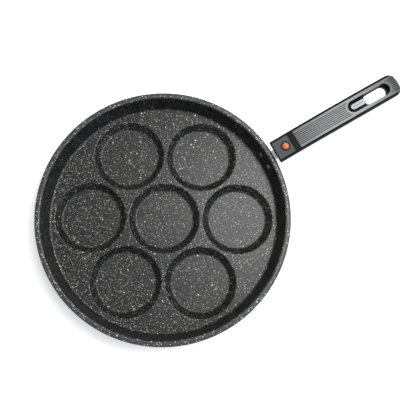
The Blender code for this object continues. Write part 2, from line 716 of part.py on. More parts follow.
def make_bracket():
    """Bent steel strip, trimmed to a wide plate with a narrow tongue, then pierced."""
    normal = Vector((math.cos(DRAFT), -math.sin(DRAFT)))
    upward = Vector((math.sin(DRAFT), math.cos(DRAFT)))
    onward = Vector((math.cos(HANDLE_RISE), math.sin(HANDLE_RISE)))
    plate = Vector((wall_radius(RIVET_Z), RIVET_Z)) + normal * BRACKET_MIDDLE
    socket = Vector((HANDLE_X, HANDLE_Z))
    back = (plate - socket).cross(upward) / onward.cross(upward)
    bend = socket + onward * back
    foot = plate - upward * (BRACKET_BELOW + ROOT)
    nose = socket + onward * TONGUE_REACH
    line = rounded([(*foot, 0.0), (*bend, BRACKET_BEND), (*nose, 0.0)])
    half = BRACKET_WIDTH / 2.0 + ROOT
    strip = flat_mesh("handle_bracket", [band(line, BRACKET_SHEET)], -half, half, across="Y")
    bracket = add_part("handle_bracket", strip, STEEL)
    trim = flat_mesh("bracket_trim", [bracket_outline(0.0, LONG)], -LONG, LONG, across="X")
    boolean(bracket, "INTERSECT", [add_cutter("bracket_trim", trim, BRACKET_FRAME)])
    window_end = TOOTH_TIP + GAP
    window = box_mesh(
        "tongue_window",
        (TOOTH_ROOT + TOOTH_PLAY, -TOOTH_WIDTH / 2.0 - TOOTH_PLAY, -LONG),
        (window_end, TOOTH_WIDTH / 2.0 + TOOTH_PLAY, LONG),
    )
    side = TONGUE_WIDTH / 2.0 + ROOT
    corners = []
    for sign in (-1.0, 1.0):
        corners.append([
            (TONGUE_REACH - TONGUE_NOSE - ROOT, sign * side),
            (TONGUE_REACH + ROOT, sign * side),
            (TONGUE_REACH + ROOT, sign * (side - TONGUE_NOSE - 2.0 * ROOT)),
        ])
    nose_cuts = flat_mesh("nose_cuts", corners, -BRACKET_SHEET, BRACKET_SHEET)
    cut = [
        add_cutter("tongue_window", window, HANDLE_FRAME),
        add_cutter("nose_cuts", nose_cuts, HANDLE_FRAME),
    ]
    cut += [add_cutter("rivet_hole", hole, BRACKET_FRAME) for hole in rivet_hole_meshes()]
    boolean(bracket, "DIFFERENCE", cut)


def make_bracket_rivets():
    """Solid rivets: a domed, coated head inside the pan and a set tail on the bracket."""
    inner = wall_radius(RIVET_Z)
    reach = RIVET_SPACING / 2.0 + RIVET_HEAD_RADIUS
    head_seat = -(inner - math.sqrt(inner**2 - reach**2)) - GAP
    tail_seat = BRACKET_MIDDLE + BRACKET_SHEET / 2.0 + GAP
    line = cap(RIVET_TAIL_RADIUS, RIVET_TAIL_HEIGHT, tail_seat)
    line += [Vector((RIVET_RADIUS, tail_seat)), Vector((RIVET_RADIUS, head_seat))]
    line += cap(RIVET_HEAD_RADIUS, RIVET_HEAD_HEIGHT, head_seat, up=False)
    for name, side in (("bracket_rivet_left", 0.5), ("bracket_rivet_right", -0.5)):
        mesh = turned_mesh(name, line, SMALL_STEPS, along_x=True)
        rivet = add_part(name, mesh, COATING, BRACKET_FRAME)
        rivet.location = (0.0, side * RIVET_SPACING, 0.0)


def closing(x, run):
    """1 along the handle, falling to almost 0 over the last run before its tip."""
    share = (x - HANDLE_LENGTH + run) / run
    share = min(max(share, 0.0), 0.995)
    return (1.0 - share**TIP_POWER) ** (1.0 / TIP_POWER)


def ease(share):
    """Smooth step from 0 to 1."""
    share = min(max(share, 0.0), 1.0)
    return share * share * (3.0 - 2.0 * share)


def half_width(x):
    return HANDLE_WIDTH / 2.0 * closing(x, TIP_RUN)


def roll(x):
    """0 along the handle, rising to 1 over the last stretch, where top and bottom close in."""
    share = max(0.0, (x - HANDLE_LENGTH + TIP_ROLL) / TIP_ROLL)
    return share * share


def top_line(x):
    """Height of the handle's upper edge: flat head, grip bent down in an arc, rolled tip."""
    beyond = max(0.0, x - HEAD_LENGTH)
    bend = GRIP_ARC - math.sqrt(GRIP_ARC**2 - beyond**2)
    return HEAD_TOP - bend - TIP_DROP * roll(x)


def bottom_line(x):
    """Height of the handle's underside: deep head, slim grip, swelling towards the tip."""
    rise = (GRIP_BOTTOM - HEAD_BOTTOM) * ease((x - HEAD_LENGTH + LEDGE) / GRIP_NECK_LENGTH)
    heel = HEEL_DROP * ease((x - HEEL_START) / HEEL_LENGTH)
    return HEAD_BOTTOM + rise - heel + TIP_RISE * roll(x)


def waist_line(x):
    """Height at which the handle's sides start to draw in."""
    top = top_line(x)
    return top - min(SIDE_HEIGHT, 0.6 * (top - bottom_line(x)))


def side_at(x, z):
    """Half width of the handle at a height below its waist."""
    return half_width(x) - (waist_line(x) - z) * math.tan(SIDE_DRAFT)


def front_lean(x, z):
    """How far the front end leans back below the head's top edge, fading out along the head."""
    return FRONT_LEAN * (HEAD_TOP - z) * max(0.0, 1.0 - x / HEAD_LENGTH)


def panel_seat(x):
    """Height of the recess that the grip panel lies in."""
    return top_line(x) + PANEL_PROUD - PANEL_SHEET - GAP


def roof_line(x):
    """Height of the cavity's roof, under the ledges that the plate and the panel lie on."""
    return min(PLATE_SEAT, panel_seat(x)) - LEDGE


def body_section(x):
    cut = max(0.0, FRONT_EDGE - x)
    half = half_width(x) - cut
    return drafted_section(
        half, bottom_line(x) + cut, waist_line(x), top_line(x) - cut, EDGE_BOTTOM, EDGE_TOP
    )


def cavity_section(x):
    half = half_width(x) - SHELL
    floor = bottom_line(x) + SHELL
    return drafted_section(half, floor, waist_line(x), roof_line(x), CAVITY_EDGE, EDGE_TOP)


def panel_section(x):
    side = min(PANEL_WIDTH / 2.0, half_width(x))
    top = top_line(x) + PANEL_PROUD
    return rounded_section(side, top - PANEL_SHEET, top, PANEL_EDGE)


def recess_section(x):
    side = PANEL_WIDTH / 2.0 + GAP
    return [(-side, panel_seat(x)), (side, panel_seat(x)), (side, LONG), (-side, LONG)]


def tip_stations():
    """Stations that close up towards the tip, as its curve does."""
    start = HANDLE_LENGTH - TIP_RUN
    return [start + TIP_RUN * math.sin(math.radians(angle)) for angle in (0, 16, 32, 46, 58, 69, 80, 90)]


def grip_stations():
    """Stations along the grip, from the head to the start of the tip."""
    near = evenly(HEAD_LENGTH, HEAD_LENGTH + GRIP_NECK_LENGTH, 5.5 * MM)
    far = evenly(HEAD_LENGTH + GRIP_NECK_LENGTH, HANDLE_LENGTH - TIP_RUN, 14.0 * MM)
    return near + far[1:]


def make_handle_base():
    """Black moulded tray: lofted outside, hollow front, recesses for plate and panel."""
    stations = [0.0, FRONT_EDGE, *grip_stations(), *tip_stations()[1:]]
    outside = loft_mesh("handle_base", stations, body_section, front_lean)
    base = add_part("handle_base", outside, BLACK_PLASTIC, HANDLE_FRAME)
    inside = [x for x in grip_stations() if x < CAVITY_END - ROOT]
    cavity = loft_mesh("cavity", [SHELL, *inside, CAVITY_END], cavity_section, front_lean)
    plate_side = PLATE_WIDTH / 2.0 + GAP
    plate_start = PLATE_INSET - GAP
    plate_end = PLATE_INSET + PLATE_LENGTH + GAP
    opening_start, opening_end = HEAD_OPENING
    head_opening = flat_mesh(
        "head_opening",
        [[
            (plate_start, LONG),
            (plate_start, PLATE_SEAT),
            (opening_start, PLATE_SEAT),
            (opening_start, YOKE_LOW),
            (opening_end, YOKE_LOW),
            (opening_end, PLATE_SEAT),
            (plate_end, PLATE_SEAT),
            (plate_end, LONG),
        ]],
        -plate_side,
        plate_side,
        across="Y",
    )
    beyond = HANDLE_LENGTH + ROOT
    recess_stations = [*grip_stations(), *tip_stations()[1:], beyond]
    recess = loft_mesh("panel_recess", recess_stations, recess_section)
    ledge = PANEL_WIDTH / 2.0 - LEDGE_WIDTH
    well = box_mesh(
        "panel_opening",
        (PANEL_START + LEDGE_WIDTH, -ledge, 0.0),
        (CAVITY_END - LEDGE_WIDTH, ledge, LONG),
    )
    socket = box_mesh(
        "socket",
        (-ROOT, -SLEEVE_OUT_SIDE - GAP, -SLEEVE_OUT_HALF - GAP),
        (SLEEVE_FRONT + SHELL + ROOT, SLEEVE_OUT_SIDE + GAP, SLEEVE_OUT_HALF + GAP),
    )
    pin_hole = cylinder_mesh("pin_hole", PIN_RADIUS + GAP, -LONG, LONG, (PIN_AT, 0.0), across="Y")
    cut = {
        "cavity": cavity,
        "head_opening": head_opening,
        "panel_recess": recess,
        "panel_opening": well,
        "socket": socket,
        "pin_hole": pin_hole,
        **slot_meshes(),
    }
    boolean(base, "DIFFERENCE", [add_cutter(name, mesh, HANDLE_FRAME) for name, mesh in cut.items()])
    joined = []
    drilled = []
    for x in SCREW_PLACES.values():
        floor = bottom_line(x)
        boss = cylinder_mesh(
            "base_boss", SCREW_HEAD_RADIUS + GAP + BOSS_WALL, floor + ROOT, BOSS_MEET, (x, 0.0)
        )
        shank = cylinder_mesh("shank_hole", SCREW_RADIUS + GAP, -LONG, BOSS_MEET + ROOT, (x, 0.0))
        sink = cylinder_mesh(
            "counterbore", SCREW_HEAD_RADIUS + GAP, -LONG, floor + SCREW_SINK, (x, 0.0)
        )
        joined.append(add_cutter("base_boss", boss, HANDLE_FRAME))
        drilled += [
            add_cutter("shank_hole", shank, HANDLE_FRAME),
            add_cutter("counterbore", sink, HANDLE_FRAME),
        ]
    boolean(base, "UNION", joined)
    boolean(base, "DIFFERENCE", drilled)


def slot_floor():
    """Height of the hang slot's floor beside the spine."""
    return top_line(HOLE_START) + PANEL_PROUD - SLOT_FLOOR_DEPTH


def slot_meshes():
    """The hang slot in the base: a floor, a deeper ledge, a hole through it and a peg hole."""
    side = SLOT_WIDTH / 2.0
    upper = stadium(SLOT_START + SLOT_STEP, SLOT_END - SLOT_STEP, side - SLOT_STEP)
    lower_start = (HOLE_START + HOLE_END) / 2.0
    lower = stadium(lower_start, SLOT_END - SLOT_LEDGE_START, side - 2.0 * SLOT_STEP)
    ledge = top_line(SLOT_END) + PANEL_PROUD - SLOT_LEDGE_DEPTH
    peg_floor = slot_floor() - SPINE_PEG_LENGTH - GAP
    return {
        "slot_upper": flat_mesh("slot_upper", [upper], slot_floor(), LONG),
        "slot_lower": flat_mesh("slot_lower", [lower], ledge, LONG),
        "slot_hole": flat_mesh("slot_hole", [hole_outline()], -LONG, LONG),
        "peg_hole": cylinder_mesh(
            "peg_hole", SPINE_PEG_RADIUS + GAP, peg_floor, LONG, (SPINE_PEG_AT, 0.0)
        ),
    }


def hole_outline():
    return stadium(HOLE_START, HOLE_END, SLOT_WIDTH / 2.0 - 3.0 * SLOT_STEP)


def groove_meshes():
    """Fine lengthwise grooves, ahead of the hang slot's collar and beyond it to the tip."""
    side = SLOT_WIDTH / 2.0
    collar = side + GROOVE_COLLAR
    meshes = []
    for index in range(GROOVES):
        y = (index - (GROOVES - 1) / 2.0) * GROOVE_PITCH
        clear = math.sqrt(collar**2 - y**2)
        before = evenly(PANEL_START - ROOT, SLOT_START + side - clear, 14.0 * MM)
        start = SLOT_END - side + clear
        after = [start, *[x for x in tip_stations() if x > start + ROOT], HANDLE_LENGTH + ROOT]

        def section(x):
            floor = top_line(x) + PANEL_PROUD - GROOVE_DEPTH
            left = y - GROOVE_WIDTH / 2.0
            right = y + GROOVE_WIDTH / 2.0
            return [(left, floor), (right, floor), (right, floor + ROOT), (left, floor + ROOT)]

        meshes += [loft_mesh("groove", stations, section) for stations in (before, after)]
    return meshes


def make_grip_panel():
    """Grey panel: lofted along the arched grip, grooved, slotted and bossed underneath."""
    stations = [PANEL_START, *[x for x in grip_stations() if x > PANEL_START], *tip_stations()[1:]]
    panel = add_part(
        "grip_panel", loft_mesh("grip_panel", stations, panel_section), GREY_PANEL, HANDLE_FRAME
    )
    joined = []
    cut = [add_cutter("groove", mesh, HANDLE_FRAME) for mesh in groove_meshes()]
    for x in SCREW_PLACES.values():
        skin = top_line(x) + PANEL_PROUD - GROOVE_DEPTH - PANEL_BOSS_SKIN
        boss = cylinder_mesh("panel_boss", PANEL_BOSS_RADIUS, BOSS_MEET + GAP, skin, (x, 0.0))
        joined.append(add_cutter("panel_boss", boss, HANDLE_FRAME))
        hole = cylinder_mesh("screw_hole", SCREW_RADIUS + GAP, 0.0, skin - ROOT / 2.0, (x, 0.0))
        cut.append(add_cutter("screw_hole", hole, HANDLE_FRAME))
    outline = stadium(SLOT_START, SLOT_END, SLOT_WIDTH / 2.0)
    slot = flat_mesh("panel_slot", [outline], 0.0, LONG)
    cut.append(add_cutter("panel_slot", slot, HANDLE_FRAME))
    boolean(panel, "UNION", joined)
    boolean(panel, "DIFFERENCE", cut)


def make_head_plate():
    """Dark plate round the button, with four snap hooks under the base's ledges."""
    outline = rectangle(PLATE_INSET, PLATE_INSET + PLATE_LENGTH, PLATE_WIDTH / 2.0, PLATE_CORNER)
    sheet = flat_mesh("head_plate", [outline], PLATE_BOTTOM, PLATE_TOP)
    plate = add_part("head_plate", sheet, DARK_PLATE, HANDLE_FRAME)
    edge = plate.modifiers.new("edge", "BEVEL")
    edge.width = PLATE_EDGE
    edge.segments = 1
    edge.limit_method = "ANGLE"
    edge.angle_limit = math.radians(60.0)
    hooks = []
    catch_top = roof_line(0.0) - GAP
    for face, outward in ((HEAD_OPENING[0] + GAP, -1.0), (HEAD_OPENING[1] - GAP, 1.0)):
        outline = [
            (face, PLATE_BOTTOM + PLATE_SHEET / 2.0),
            (face, catch_top),
            (face + outward * HOOK_CATCH, catch_top),
            (face, catch_top - HOOK_DEPTH),
            (face - outward * HOOK_SHEET, catch_top - HOOK_DEPTH),
            (face - outward * HOOK_SHEET, PLATE_BOTTOM + PLATE_SHEET / 2.0),
        ]
        for side in (-1.0, 1.0):
            low = side * (PLATE_WIDTH / 2.0 - HOOK_INSET) - HOOK_WIDTH / 2.0
            hook = flat_mesh("plate_hook", [outline], low, low + HOOK_WIDTH, across="Y")
            hooks.append(add_cutter("plate_hook", hook, HANDLE_FRAME))
    boolean(plate, "UNION", hooks)
    hole = cylinder_mesh("button_hole", SKIRT_RADIUS + GAP, 0.0, LONG, (BUTTON_AT, 0.0))
    boolean(plate, "DIFFERENCE", [add_cutter("button_hole", hole, HANDLE_FRAME)])


def make_socket_sleeve():
    """Folded steel sleeve: a box for the tongue, a strap behind it and two ears for the pin."""
    stop = SLEEVE_STOP + SLEEVE_SHEET
    outline = rounded([
        (SLEEVE_FRONT, 0.0, 0.0),
        (SLEEVE_FRONT, -SLEEVE_OUT_HALF, 0.0),
        (SLEEVE_STRAP_END, -SLEEVE_OUT_HALF, 0.0),
        (SLEEVE_STRAP_END, SLEEVE_OUT_HALF, SLEEVE_EAR_ROUNDING),
        (SLEEVE_EAR_START, SLEEVE_OUT_HALF, SLEEVE_EAR_ROUNDING),
        (SLEEVE_EAR_START, -SLEEVE_IN_HALF, 0.0),
        (stop, -SLEEVE_IN_HALF, 0.0),
        (stop, SLEEVE_OUT_HALF, 0.0),
        (SLEEVE_FRONT, SLEEVE_OUT_HALF, 0.0),
    ])
    mesh = flat_mesh("socket_sleeve", [outline], -SLEEVE_OUT_SIDE, SLEEVE_OUT_SIDE, across="Y")
    sleeve = add_part("socket_sleeve", mesh, STEEL, HANDLE_FRAME)
    cut = {
        "bore": box_mesh(
            "bore",
            (0.0, -SLEEVE_IN_SIDE, -SLEEVE_IN_HALF),
            (SLEEVE_STOP, SLEEVE_IN_SIDE, SLEEVE_IN_HALF),
        ),
        "between_ears": box_mesh(
            "between_ears",
            (stop + ROOT, -SLEEVE_IN_SIDE, -SLEEVE_IN_HALF),
            (SLEEVE_STRAP_END + ROOT, SLEEVE_IN_SIDE, LONG),
        ),
        "tooth_window": box_mesh(
            "tooth_window",
            (TOOTH_ROOT - TOOTH_PLAY, -TOOTH_WIDTH / 2.0 - TOOTH_PLAY, -LONG),
            (TOOTH_TIP + TOOTH_PLAY, TOOTH_WIDTH / 2.0 + TOOTH_PLAY, 0.0),
        ),
        "leaf_rivet_hole": cylinder_mesh(
            "leaf_rivet_hole", LEAF_RIVET_RADIUS + GAP, -LONG, 0.0, (LEAF_RIVET_AT, 0.0)
        ),
        "ear_holes": cylinder_mesh(
            "ear_holes", PIN_RADIUS + GAP, -LONG, LONG, (PIN_AT, 0.0), across="Y"
        ),
    }
    boolean(sleeve, "DIFFERENCE", [add_cutter(name, mesh, HANDLE_FRAME) for name, mesh in cut.items()])


def make_latch_leaf():
    """Spring steel leaf: riveted pad, narrow neck, wings and a lanced ramp tooth."""
    opening = TOOTH_WIDTH / 2.0 + GAP
    front = opening + LEAF_RAIL
    opening_end = TOOTH_TIP + TOOTH_PLAY
    block_end = opening_end + LEAF_RAIL
    wing_start = BUTTON_AT - BUTTON_LEG_LENGTH / 2.0 - GAP
    wing_end = BUTTON_AT + BUTTON_LEG_LENGTH / 2.0 + GAP
    pad_start = LEAF_REAR - LEAF_PAD_LENGTH
    side = [
        (LEAF_FRONT, front - LEAF_NOSE),
        (wing_start, front),
        (wing_start, LEG_OUTSIDE),
        (wing_end, LEG_OUTSIDE),
        (wing_end, front),
        (block_end, LEAF_NECK),
        (pad_start, LEAF_NECK),
        (pad_start + LEAF_TAPER, LEAF_PAD),
        (LEAF_REAR, LEAF_PAD),
    ]
    outline = side + [(x, -y) for x, y in side[::-1]]
    opening_outline = rectangle(TOOTH_ROOT, opening_end, opening)
    mesh = flat_mesh("latch_leaf", [outline, opening_outline], LEAF_BOTTOM, LEAF_TOP)
    leaf = add_part("latch_leaf", mesh, STEEL, HANDLE_FRAME)
    middle = (LEAF_TOP + LEAF_BOTTOM) / 2.0
    ramp = [Vector((TOOTH_ROOT - LEAF_SHEET, middle)), Vector((TOOTH_TIP, TOOTH_ENGAGE))]
    half = TOOTH_WIDTH / 2.0
    tooth = flat_mesh("tooth", [band(ramp, LEAF_SHEET)], -half, half, across="Y")
    boolean(leaf, "UNION", [add_cutter("tooth", tooth, HANDLE_FRAME)])
    hole = cylinder_mesh(
        "leaf_hole", LEAF_RIVET_RADIUS + GAP, -LONG, LONG, (LEAF_RIVET_AT, 0.0)
    )
    boolean(leaf, "DIFFERENCE", [add_cutter("leaf_hole", hole, HANDLE_FRAME)])


def make_leaf_rivet():
    """Small rivet through the sleeve's strap and the leaf."""
    above = GAP - SLEEVE_IN_HALF
    below = LEAF_BOTTOM - GAP
    line = cap(LEAF_RIVET_HEAD, LEAF_RIVET_HEIGHT, above)
    line += [Vector((LEAF_RIVET_RADIUS, above)), Vector((LEAF_RIVET_RADIUS, below))]
    line += cap(LEAF_RIVET_HEAD, LEAF_RIVET_HEIGHT, below, up=False)
    rivet = add_part("leaf_rivet", turned_mesh("leaf_rivet", line, SMALL_STEPS), STEEL, HANDLE_FRAME)
    rivet.location = (LEAF_RIVET_AT, 0.0, 0.0)


def make_sleeve_pin():
    """Cross pin through the base's sides and the sleeve's ears."""
    half = side_at(PIN_AT, -PIN_RADIUS) - PIN_SUNK
    mesh = cylinder_mesh("sleeve_pin", PIN_RADIUS, -half, half, (PIN_AT, 0.0), across="Y")
    add_part("sleeve_pin", mesh, STEEL, HANDLE_FRAME)


def make_release_button():
    """Domed cap, skirt and flange, joined to a yoke with two legs that straddle the sleeve.

    Its origin is on its own axis of travel, at the middle of the tongue's thickness.
    """
    skirt_top = PLATE_TOP - BUTTON_SKIRT_DROP
    flange_top = PLATE_BOTTOM - GAP
    flange_low = flange_top - BUTTON_LIP_SHEET
    stem_end = YOKE_LOW + BUTTON_YOKE / 3.0
    line = cap(BUTTON_RADIUS, BUTTON_DOME, PLATE_TOP + BUTTON_PROUD)
    line += [
        Vector((BUTTON_RADIUS, skirt_top)),
        Vector((SKIRT_RADIUS, skirt_top)),
        Vector((SKIRT_RADIUS, flange_top)),
        Vector((FLANGE_RADIUS, flange_top)),
        Vector((FLANGE_RADIUS, flange_low)),
        Vector((BUTTON_RADIUS, flange_low)),
        Vector((BUTTON_RADIUS, stem_end)),
        Vector((0.0, stem_end)),
    ]
    mesh = turned_mesh("release_button", line, SMALL_STEPS)
    button = add_part("release_button", mesh, ORANGE, HANDLE_FRAME)
    button.location = (BUTTON_AT, 0.0, 0.0)
    outline = [
        (-LEG_OUTSIDE, LEG_END),
        (-LEG_INSIDE, LEG_END),
        (-LEG_INSIDE, YOKE_LOW),
        (LEG_INSIDE, YOKE_LOW),
        (LEG_INSIDE, LEG_END),
        (LEG_OUTSIDE, LEG_END),
        (LEG_OUTSIDE, YOKE_HIGH),
        (-LEG_OUTSIDE, YOKE_HIGH),
    ]
    half = BUTTON_LEG_LENGTH / 2.0
    yoke = flat_mesh("yoke", [outline], BUTTON_AT - half, BUTTON_AT + half, across="X")
    boolean(button, "UNION", [add_cutter("yoke", yoke, HANDLE_FRAME)])


def make_hang_slot_spine():
    """Light tongue in the hang slot, falling towards the hole, held by a peg."""
    top = top_line(SPINE_START) + PANEL_PROUD - SPINE_SUNK
    bottom = slot_floor() + GAP
    half = SPINE_WIDTH / 2.0
    end = HOLE_START + SLOT_WIDTH / 2.0
    outline = [
        (SPINE_START - ROOT, bottom),
        (end, bottom),
        (end, top - SPINE_FALL),
        (SPINE_START - ROOT, top),
    ]
    mesh = flat_mesh("hang_slot_spine", [outline], -half - ROOT, half + ROOT, across="Y")
    spine = add_part("hang_slot_spine", mesh, GREY_PANEL, HANDLE_FRAME)
    plan = flat_mesh("spine_plan", [stadium(SPINE_START, end + SPINE_WIDTH, half)], 0.0, LONG)
    boolean(spine, "INTERSECT", [add_cutter("spine_plan", plan, HANDLE_FRAME)])
    edge = spine.modifiers.new("edge", "BEVEL")
    edge.width = SPINE_EDGE
    edge.segments = 2
    edge.limit_method = "ANGLE"
    edge.angle_limit = math.radians(60.0)
    peg = cylinder_mesh(
        "spine_peg",
        SPINE_PEG_RADIUS,
        slot_floor() - SPINE_PEG_LENGTH,
        bottom + ROOT,
        (SPINE_PEG_AT, 0.0),
    )
    boolean(spine, "UNION", [add_cutter("spine_peg", peg, HANDLE_FRAME)])
    hole = flat_mesh("spine_hole", [hole_outline()], -LONG, LONG)
    groove_low = top - SPINE_FALL - SPINE_GROOVE
    groove = box_mesh(
        "spine_groove",
        (SPINE_START + SPINE_WIDTH / 2.0, -SPINE_GROOVE / 2.0, groove_low),
        (end, SPINE_GROOVE / 2.0, LONG),
    )
    cut = [
        add_cutter("spine_hole", hole, HANDLE_FRAME),
        add_cutter("spine_groove", groove, HANDLE_FRAME),
    ]
    boolean(spine, "DIFFERENCE", cut)


def make_housing_screws():
    """Self-tapping screws from below, sunk in the base, that hold the grip panel."""
    for side, x in SCREW_PLACES.items():
        seat = bottom_line(x) + SCREW_SINK - GAP
        head = seat - SCREW_HEAD_HEIGHT
        tip = BOSS_MEET + SCREW_REACH
        line = rounded([
            (0.0, tip, 0.0),
            (SCREW_RADIUS, tip - SCREW_RADIUS, 0.0),
            (SCREW_RADIUS, seat, 0.0),
            (SCREW_HEAD_RADIUS, seat, 0.0),
            (SCREW_HEAD_RADIUS, head, SCREW_HEAD_HEIGHT / 2.0),
            (0.0, head, 0.0),
        ])
        name = f"housing_screw_{side}"
        screw = add_part(name, turned_mesh(name, line, SMALL_STEPS), STEEL, HANDLE_FRAME)
        screw.location = (x, 0.0, 0.0)
        long = SCREW_HEAD_RADIUS * 0.7
        wide = SCREW_CROSS / 2.0
        deep = head + SCREW_CROSS_DEPTH
        bars = [
            box_mesh("cross", (x - long, -wide, head - ROOT), (x + long, wide, deep)),
            box_mesh("cross", (x - wide, -long, head - ROOT), (x + wide, long, deep)),
        ]
        boolean(screw, "DIFFERENCE", [add_cutter("cross", bar, HANDLE_FRAME) for bar in bars])


clear_scene()

PARTS = bpy.data.collections.new("pancake_pan")
CUTTERS = bpy.data.collections.new("cutters")
CUTTERS.hide_render = True

COATING = make_material("speckled_coating", (0.035, 0.035, 0.038), 0.45)
STEEL = make_material("bright_steel", (0.62, 0.62, 0.63), 0.3, 1.0)
BLACK_PLASTIC = make_material("black_moulding", (0.02, 0.02, 0.023), 0.4)
GREY_PANEL = make_material("satin_grey", (0.42, 0.42, 0.44), 0.35)
DARK_PLATE = make_material("dark_grey", (0.09, 0.095, 0.1), 0.5)
ORANGE = make_material("orange_button", (0.85, 0.2, 0.07), 0.35)

# The bracket's frame leans with the wall: x is square to it, and the rivets lie at z = 0.
BRACKET_FRAME = make_frame("bracket_frame", (wall_radius(RIVET_Z), 0.0, RIVET_Z), DRAFT)
HANDLE_FRAME = make_frame("handle_frame", (HANDLE_X, 0.0, HANDLE_Z), -HANDLE_RISE)

make_pan()
make_bracket()
make_bracket_rivets()
make_handle_base()
make_grip_panel()
make_head_plate()
make_socket_sleeve()
make_latch_leaf()
make_leaf_rivet()
make_sleeve_pin()
make_release_button()
make_hang_slot_spine()
make_housing_screws()

# Large faces keep their own direction next to small roundings.
for piece in PARTS.objects:
    if piece.type == "MESH":
        piece.modifiers.new("flat_faces", "WEIGHTED_NORMAL").keep_sharp = True

# The pieces join the scene last, so that no Boolean is worked out more than once.
bpy.context.scene.collection.children.link(PARTS)
bpy.context.scene.collection.children.link(CUTTERS)
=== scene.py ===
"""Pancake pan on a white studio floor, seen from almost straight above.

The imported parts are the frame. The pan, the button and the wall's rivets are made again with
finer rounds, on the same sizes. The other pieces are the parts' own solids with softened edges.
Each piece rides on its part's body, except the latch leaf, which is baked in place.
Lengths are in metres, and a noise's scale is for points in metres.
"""

import json
import math

import bmesh
import bpy
from mathutils import Matrix, Vector

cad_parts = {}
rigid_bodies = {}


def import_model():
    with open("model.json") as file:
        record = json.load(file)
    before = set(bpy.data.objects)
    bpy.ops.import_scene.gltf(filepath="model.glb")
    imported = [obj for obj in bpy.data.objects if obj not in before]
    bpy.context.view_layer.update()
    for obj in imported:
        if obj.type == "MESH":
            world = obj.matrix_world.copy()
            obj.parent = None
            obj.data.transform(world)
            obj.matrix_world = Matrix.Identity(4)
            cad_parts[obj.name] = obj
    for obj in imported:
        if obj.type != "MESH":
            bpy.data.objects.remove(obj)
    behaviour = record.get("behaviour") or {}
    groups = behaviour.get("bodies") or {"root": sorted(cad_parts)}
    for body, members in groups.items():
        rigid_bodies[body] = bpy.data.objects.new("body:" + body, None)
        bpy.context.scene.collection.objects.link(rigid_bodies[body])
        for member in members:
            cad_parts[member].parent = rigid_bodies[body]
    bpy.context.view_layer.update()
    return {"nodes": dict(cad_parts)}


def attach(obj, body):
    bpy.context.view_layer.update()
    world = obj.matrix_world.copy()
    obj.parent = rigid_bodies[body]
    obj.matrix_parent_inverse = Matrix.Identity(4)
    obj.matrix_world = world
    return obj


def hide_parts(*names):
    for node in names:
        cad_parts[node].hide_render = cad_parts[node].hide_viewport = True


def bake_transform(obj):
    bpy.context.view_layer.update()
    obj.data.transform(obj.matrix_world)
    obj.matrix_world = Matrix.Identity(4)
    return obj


MM = 0.001
MERGE = 0.005 * MM

# Pan
RIM_RADIUS = 129.84 * MM        # the rim's outer edge, inside the frame's facets
RIM_INNER = 124.0 * MM
RIM_Z = 34.0 * MM
RIM_BEAD = 3.2 * MM
RIM_BEAD_TAPER = 2.7 * MM
RIM_ROUNDING = 2.4 * MM
BEAD_ROUNDING = 0.8 * MM
WALL = 3.6 * MM
WALL_FLARE = 5.0 * MM
SIDE_DEPTH = 22.0 * MM
LAND_Z = 12.0 * MM
UNDER_Z = 8.4 * MM
LAND_RADIUS = 119.0 * MM
LAND_FILLET = 2.6 * MM
BASE_FILLET = 4.5 * MM
WELL_RADIUS = 36.9 * MM
WELL_PITCH = 77.0 * MM
WELL_DEPTH = 8.0 * MM
WELL_FLOOR = 4.0 * MM
WELL_SLOPE = 6.3 * MM
WELL_LIP = 1.5 * MM
WELL_FILLET = 2.6 * MM
LIP_RISE = 0.05 * MM
CUP_WALL = 3.4 * MM
CUP_ROOT = 1.2 * MM
FOOT_CHAMFER = 0.8 * MM
FOOT_ROUNDING = 0.4 * MM
OUTER_WELLS = 6
PAN_STEPS = 240
WELL_STEPS = 120
ARC_STEP = math.radians(9.0)
ARC_SLACK = 0.01                # keeps an arc of whole steps from getting one step more
DOME_STEPS = 9

# Pad on the wall, bracket and rivets
BRACKET_SHEET = 2.4 * MM
BRACKET_SIDE = 15.0 * MM
BRACKET_BELOW = 7.5 * MM
BRACKET_ABOVE = 3.5 * MM
BRACKET_CORNER = 3.6 * MM
BOSS_RAISE = 1.2 * MM
BOSS_BORDER = 1.5 * MM
RIVET_DROP = 11.3 * MM
RIVET_SPACING = 15.0 * MM
RIVET_RADIUS = 2.0 * MM
RIVET_HEAD_RADIUS = 3.6 * MM
RIVET_HEAD_HEIGHT = 1.7 * MM
RIVET_TAIL_RADIUS = 2.8 * MM
RIVET_TAIL_HEIGHT = 1.5 * MM
RIVET_STEPS = 48
GAP = 0.3 * MM
LONG = 60.0 * MM                # a cutter reaches this far, past everything that it cuts

# Handle frame and button
HANDLE_AT = (132.6 * MM, 0.0, 27.9 * MM)
HANDLE_RISE = math.radians(11.0)
PLATE_TOP = 14.6 * MM
PLATE_BOTTOM = 13.3 * MM
BUTTON_AT = 12.7 * MM
BUTTON_RADIUS = 3.4 * MM
BUTTON_PROUD = 0.7 * MM
BUTTON_DOME = 0.9 * MM
BUTTON_SKIRT = 1.1 * MM
BUTTON_SKIRT_DROP = 0.5 * MM
BUTTON_LIP = 1.1 * MM
BUTTON_LIP_SHEET = 1.5 * MM
BUTTON_EDGE = 0.35 * MM
BUTTON_CREASE = 0.15 * MM       # round where the cap meets the skirt
SKIRT_ROUNDING = 0.2 * MM
BUTTON_LEG_HALF = 1.5 * MM
LEG_OUTSIDE = 7.6 * MM
LEG_INSIDE = 6.4 * MM
YOKE_LOW = 5.7 * MM
YOKE_HIGH = 7.9 * MM
LEG_END = -2.3 * MM
BUTTON_STEPS = 72
LEAF_ROOT = 26.4 * MM           # the riveted pad's front edge, where the leaf starts to bend
LEAF_WING_REAR = 14.8 * MM      # from here forward the leaf moves with the button's legs

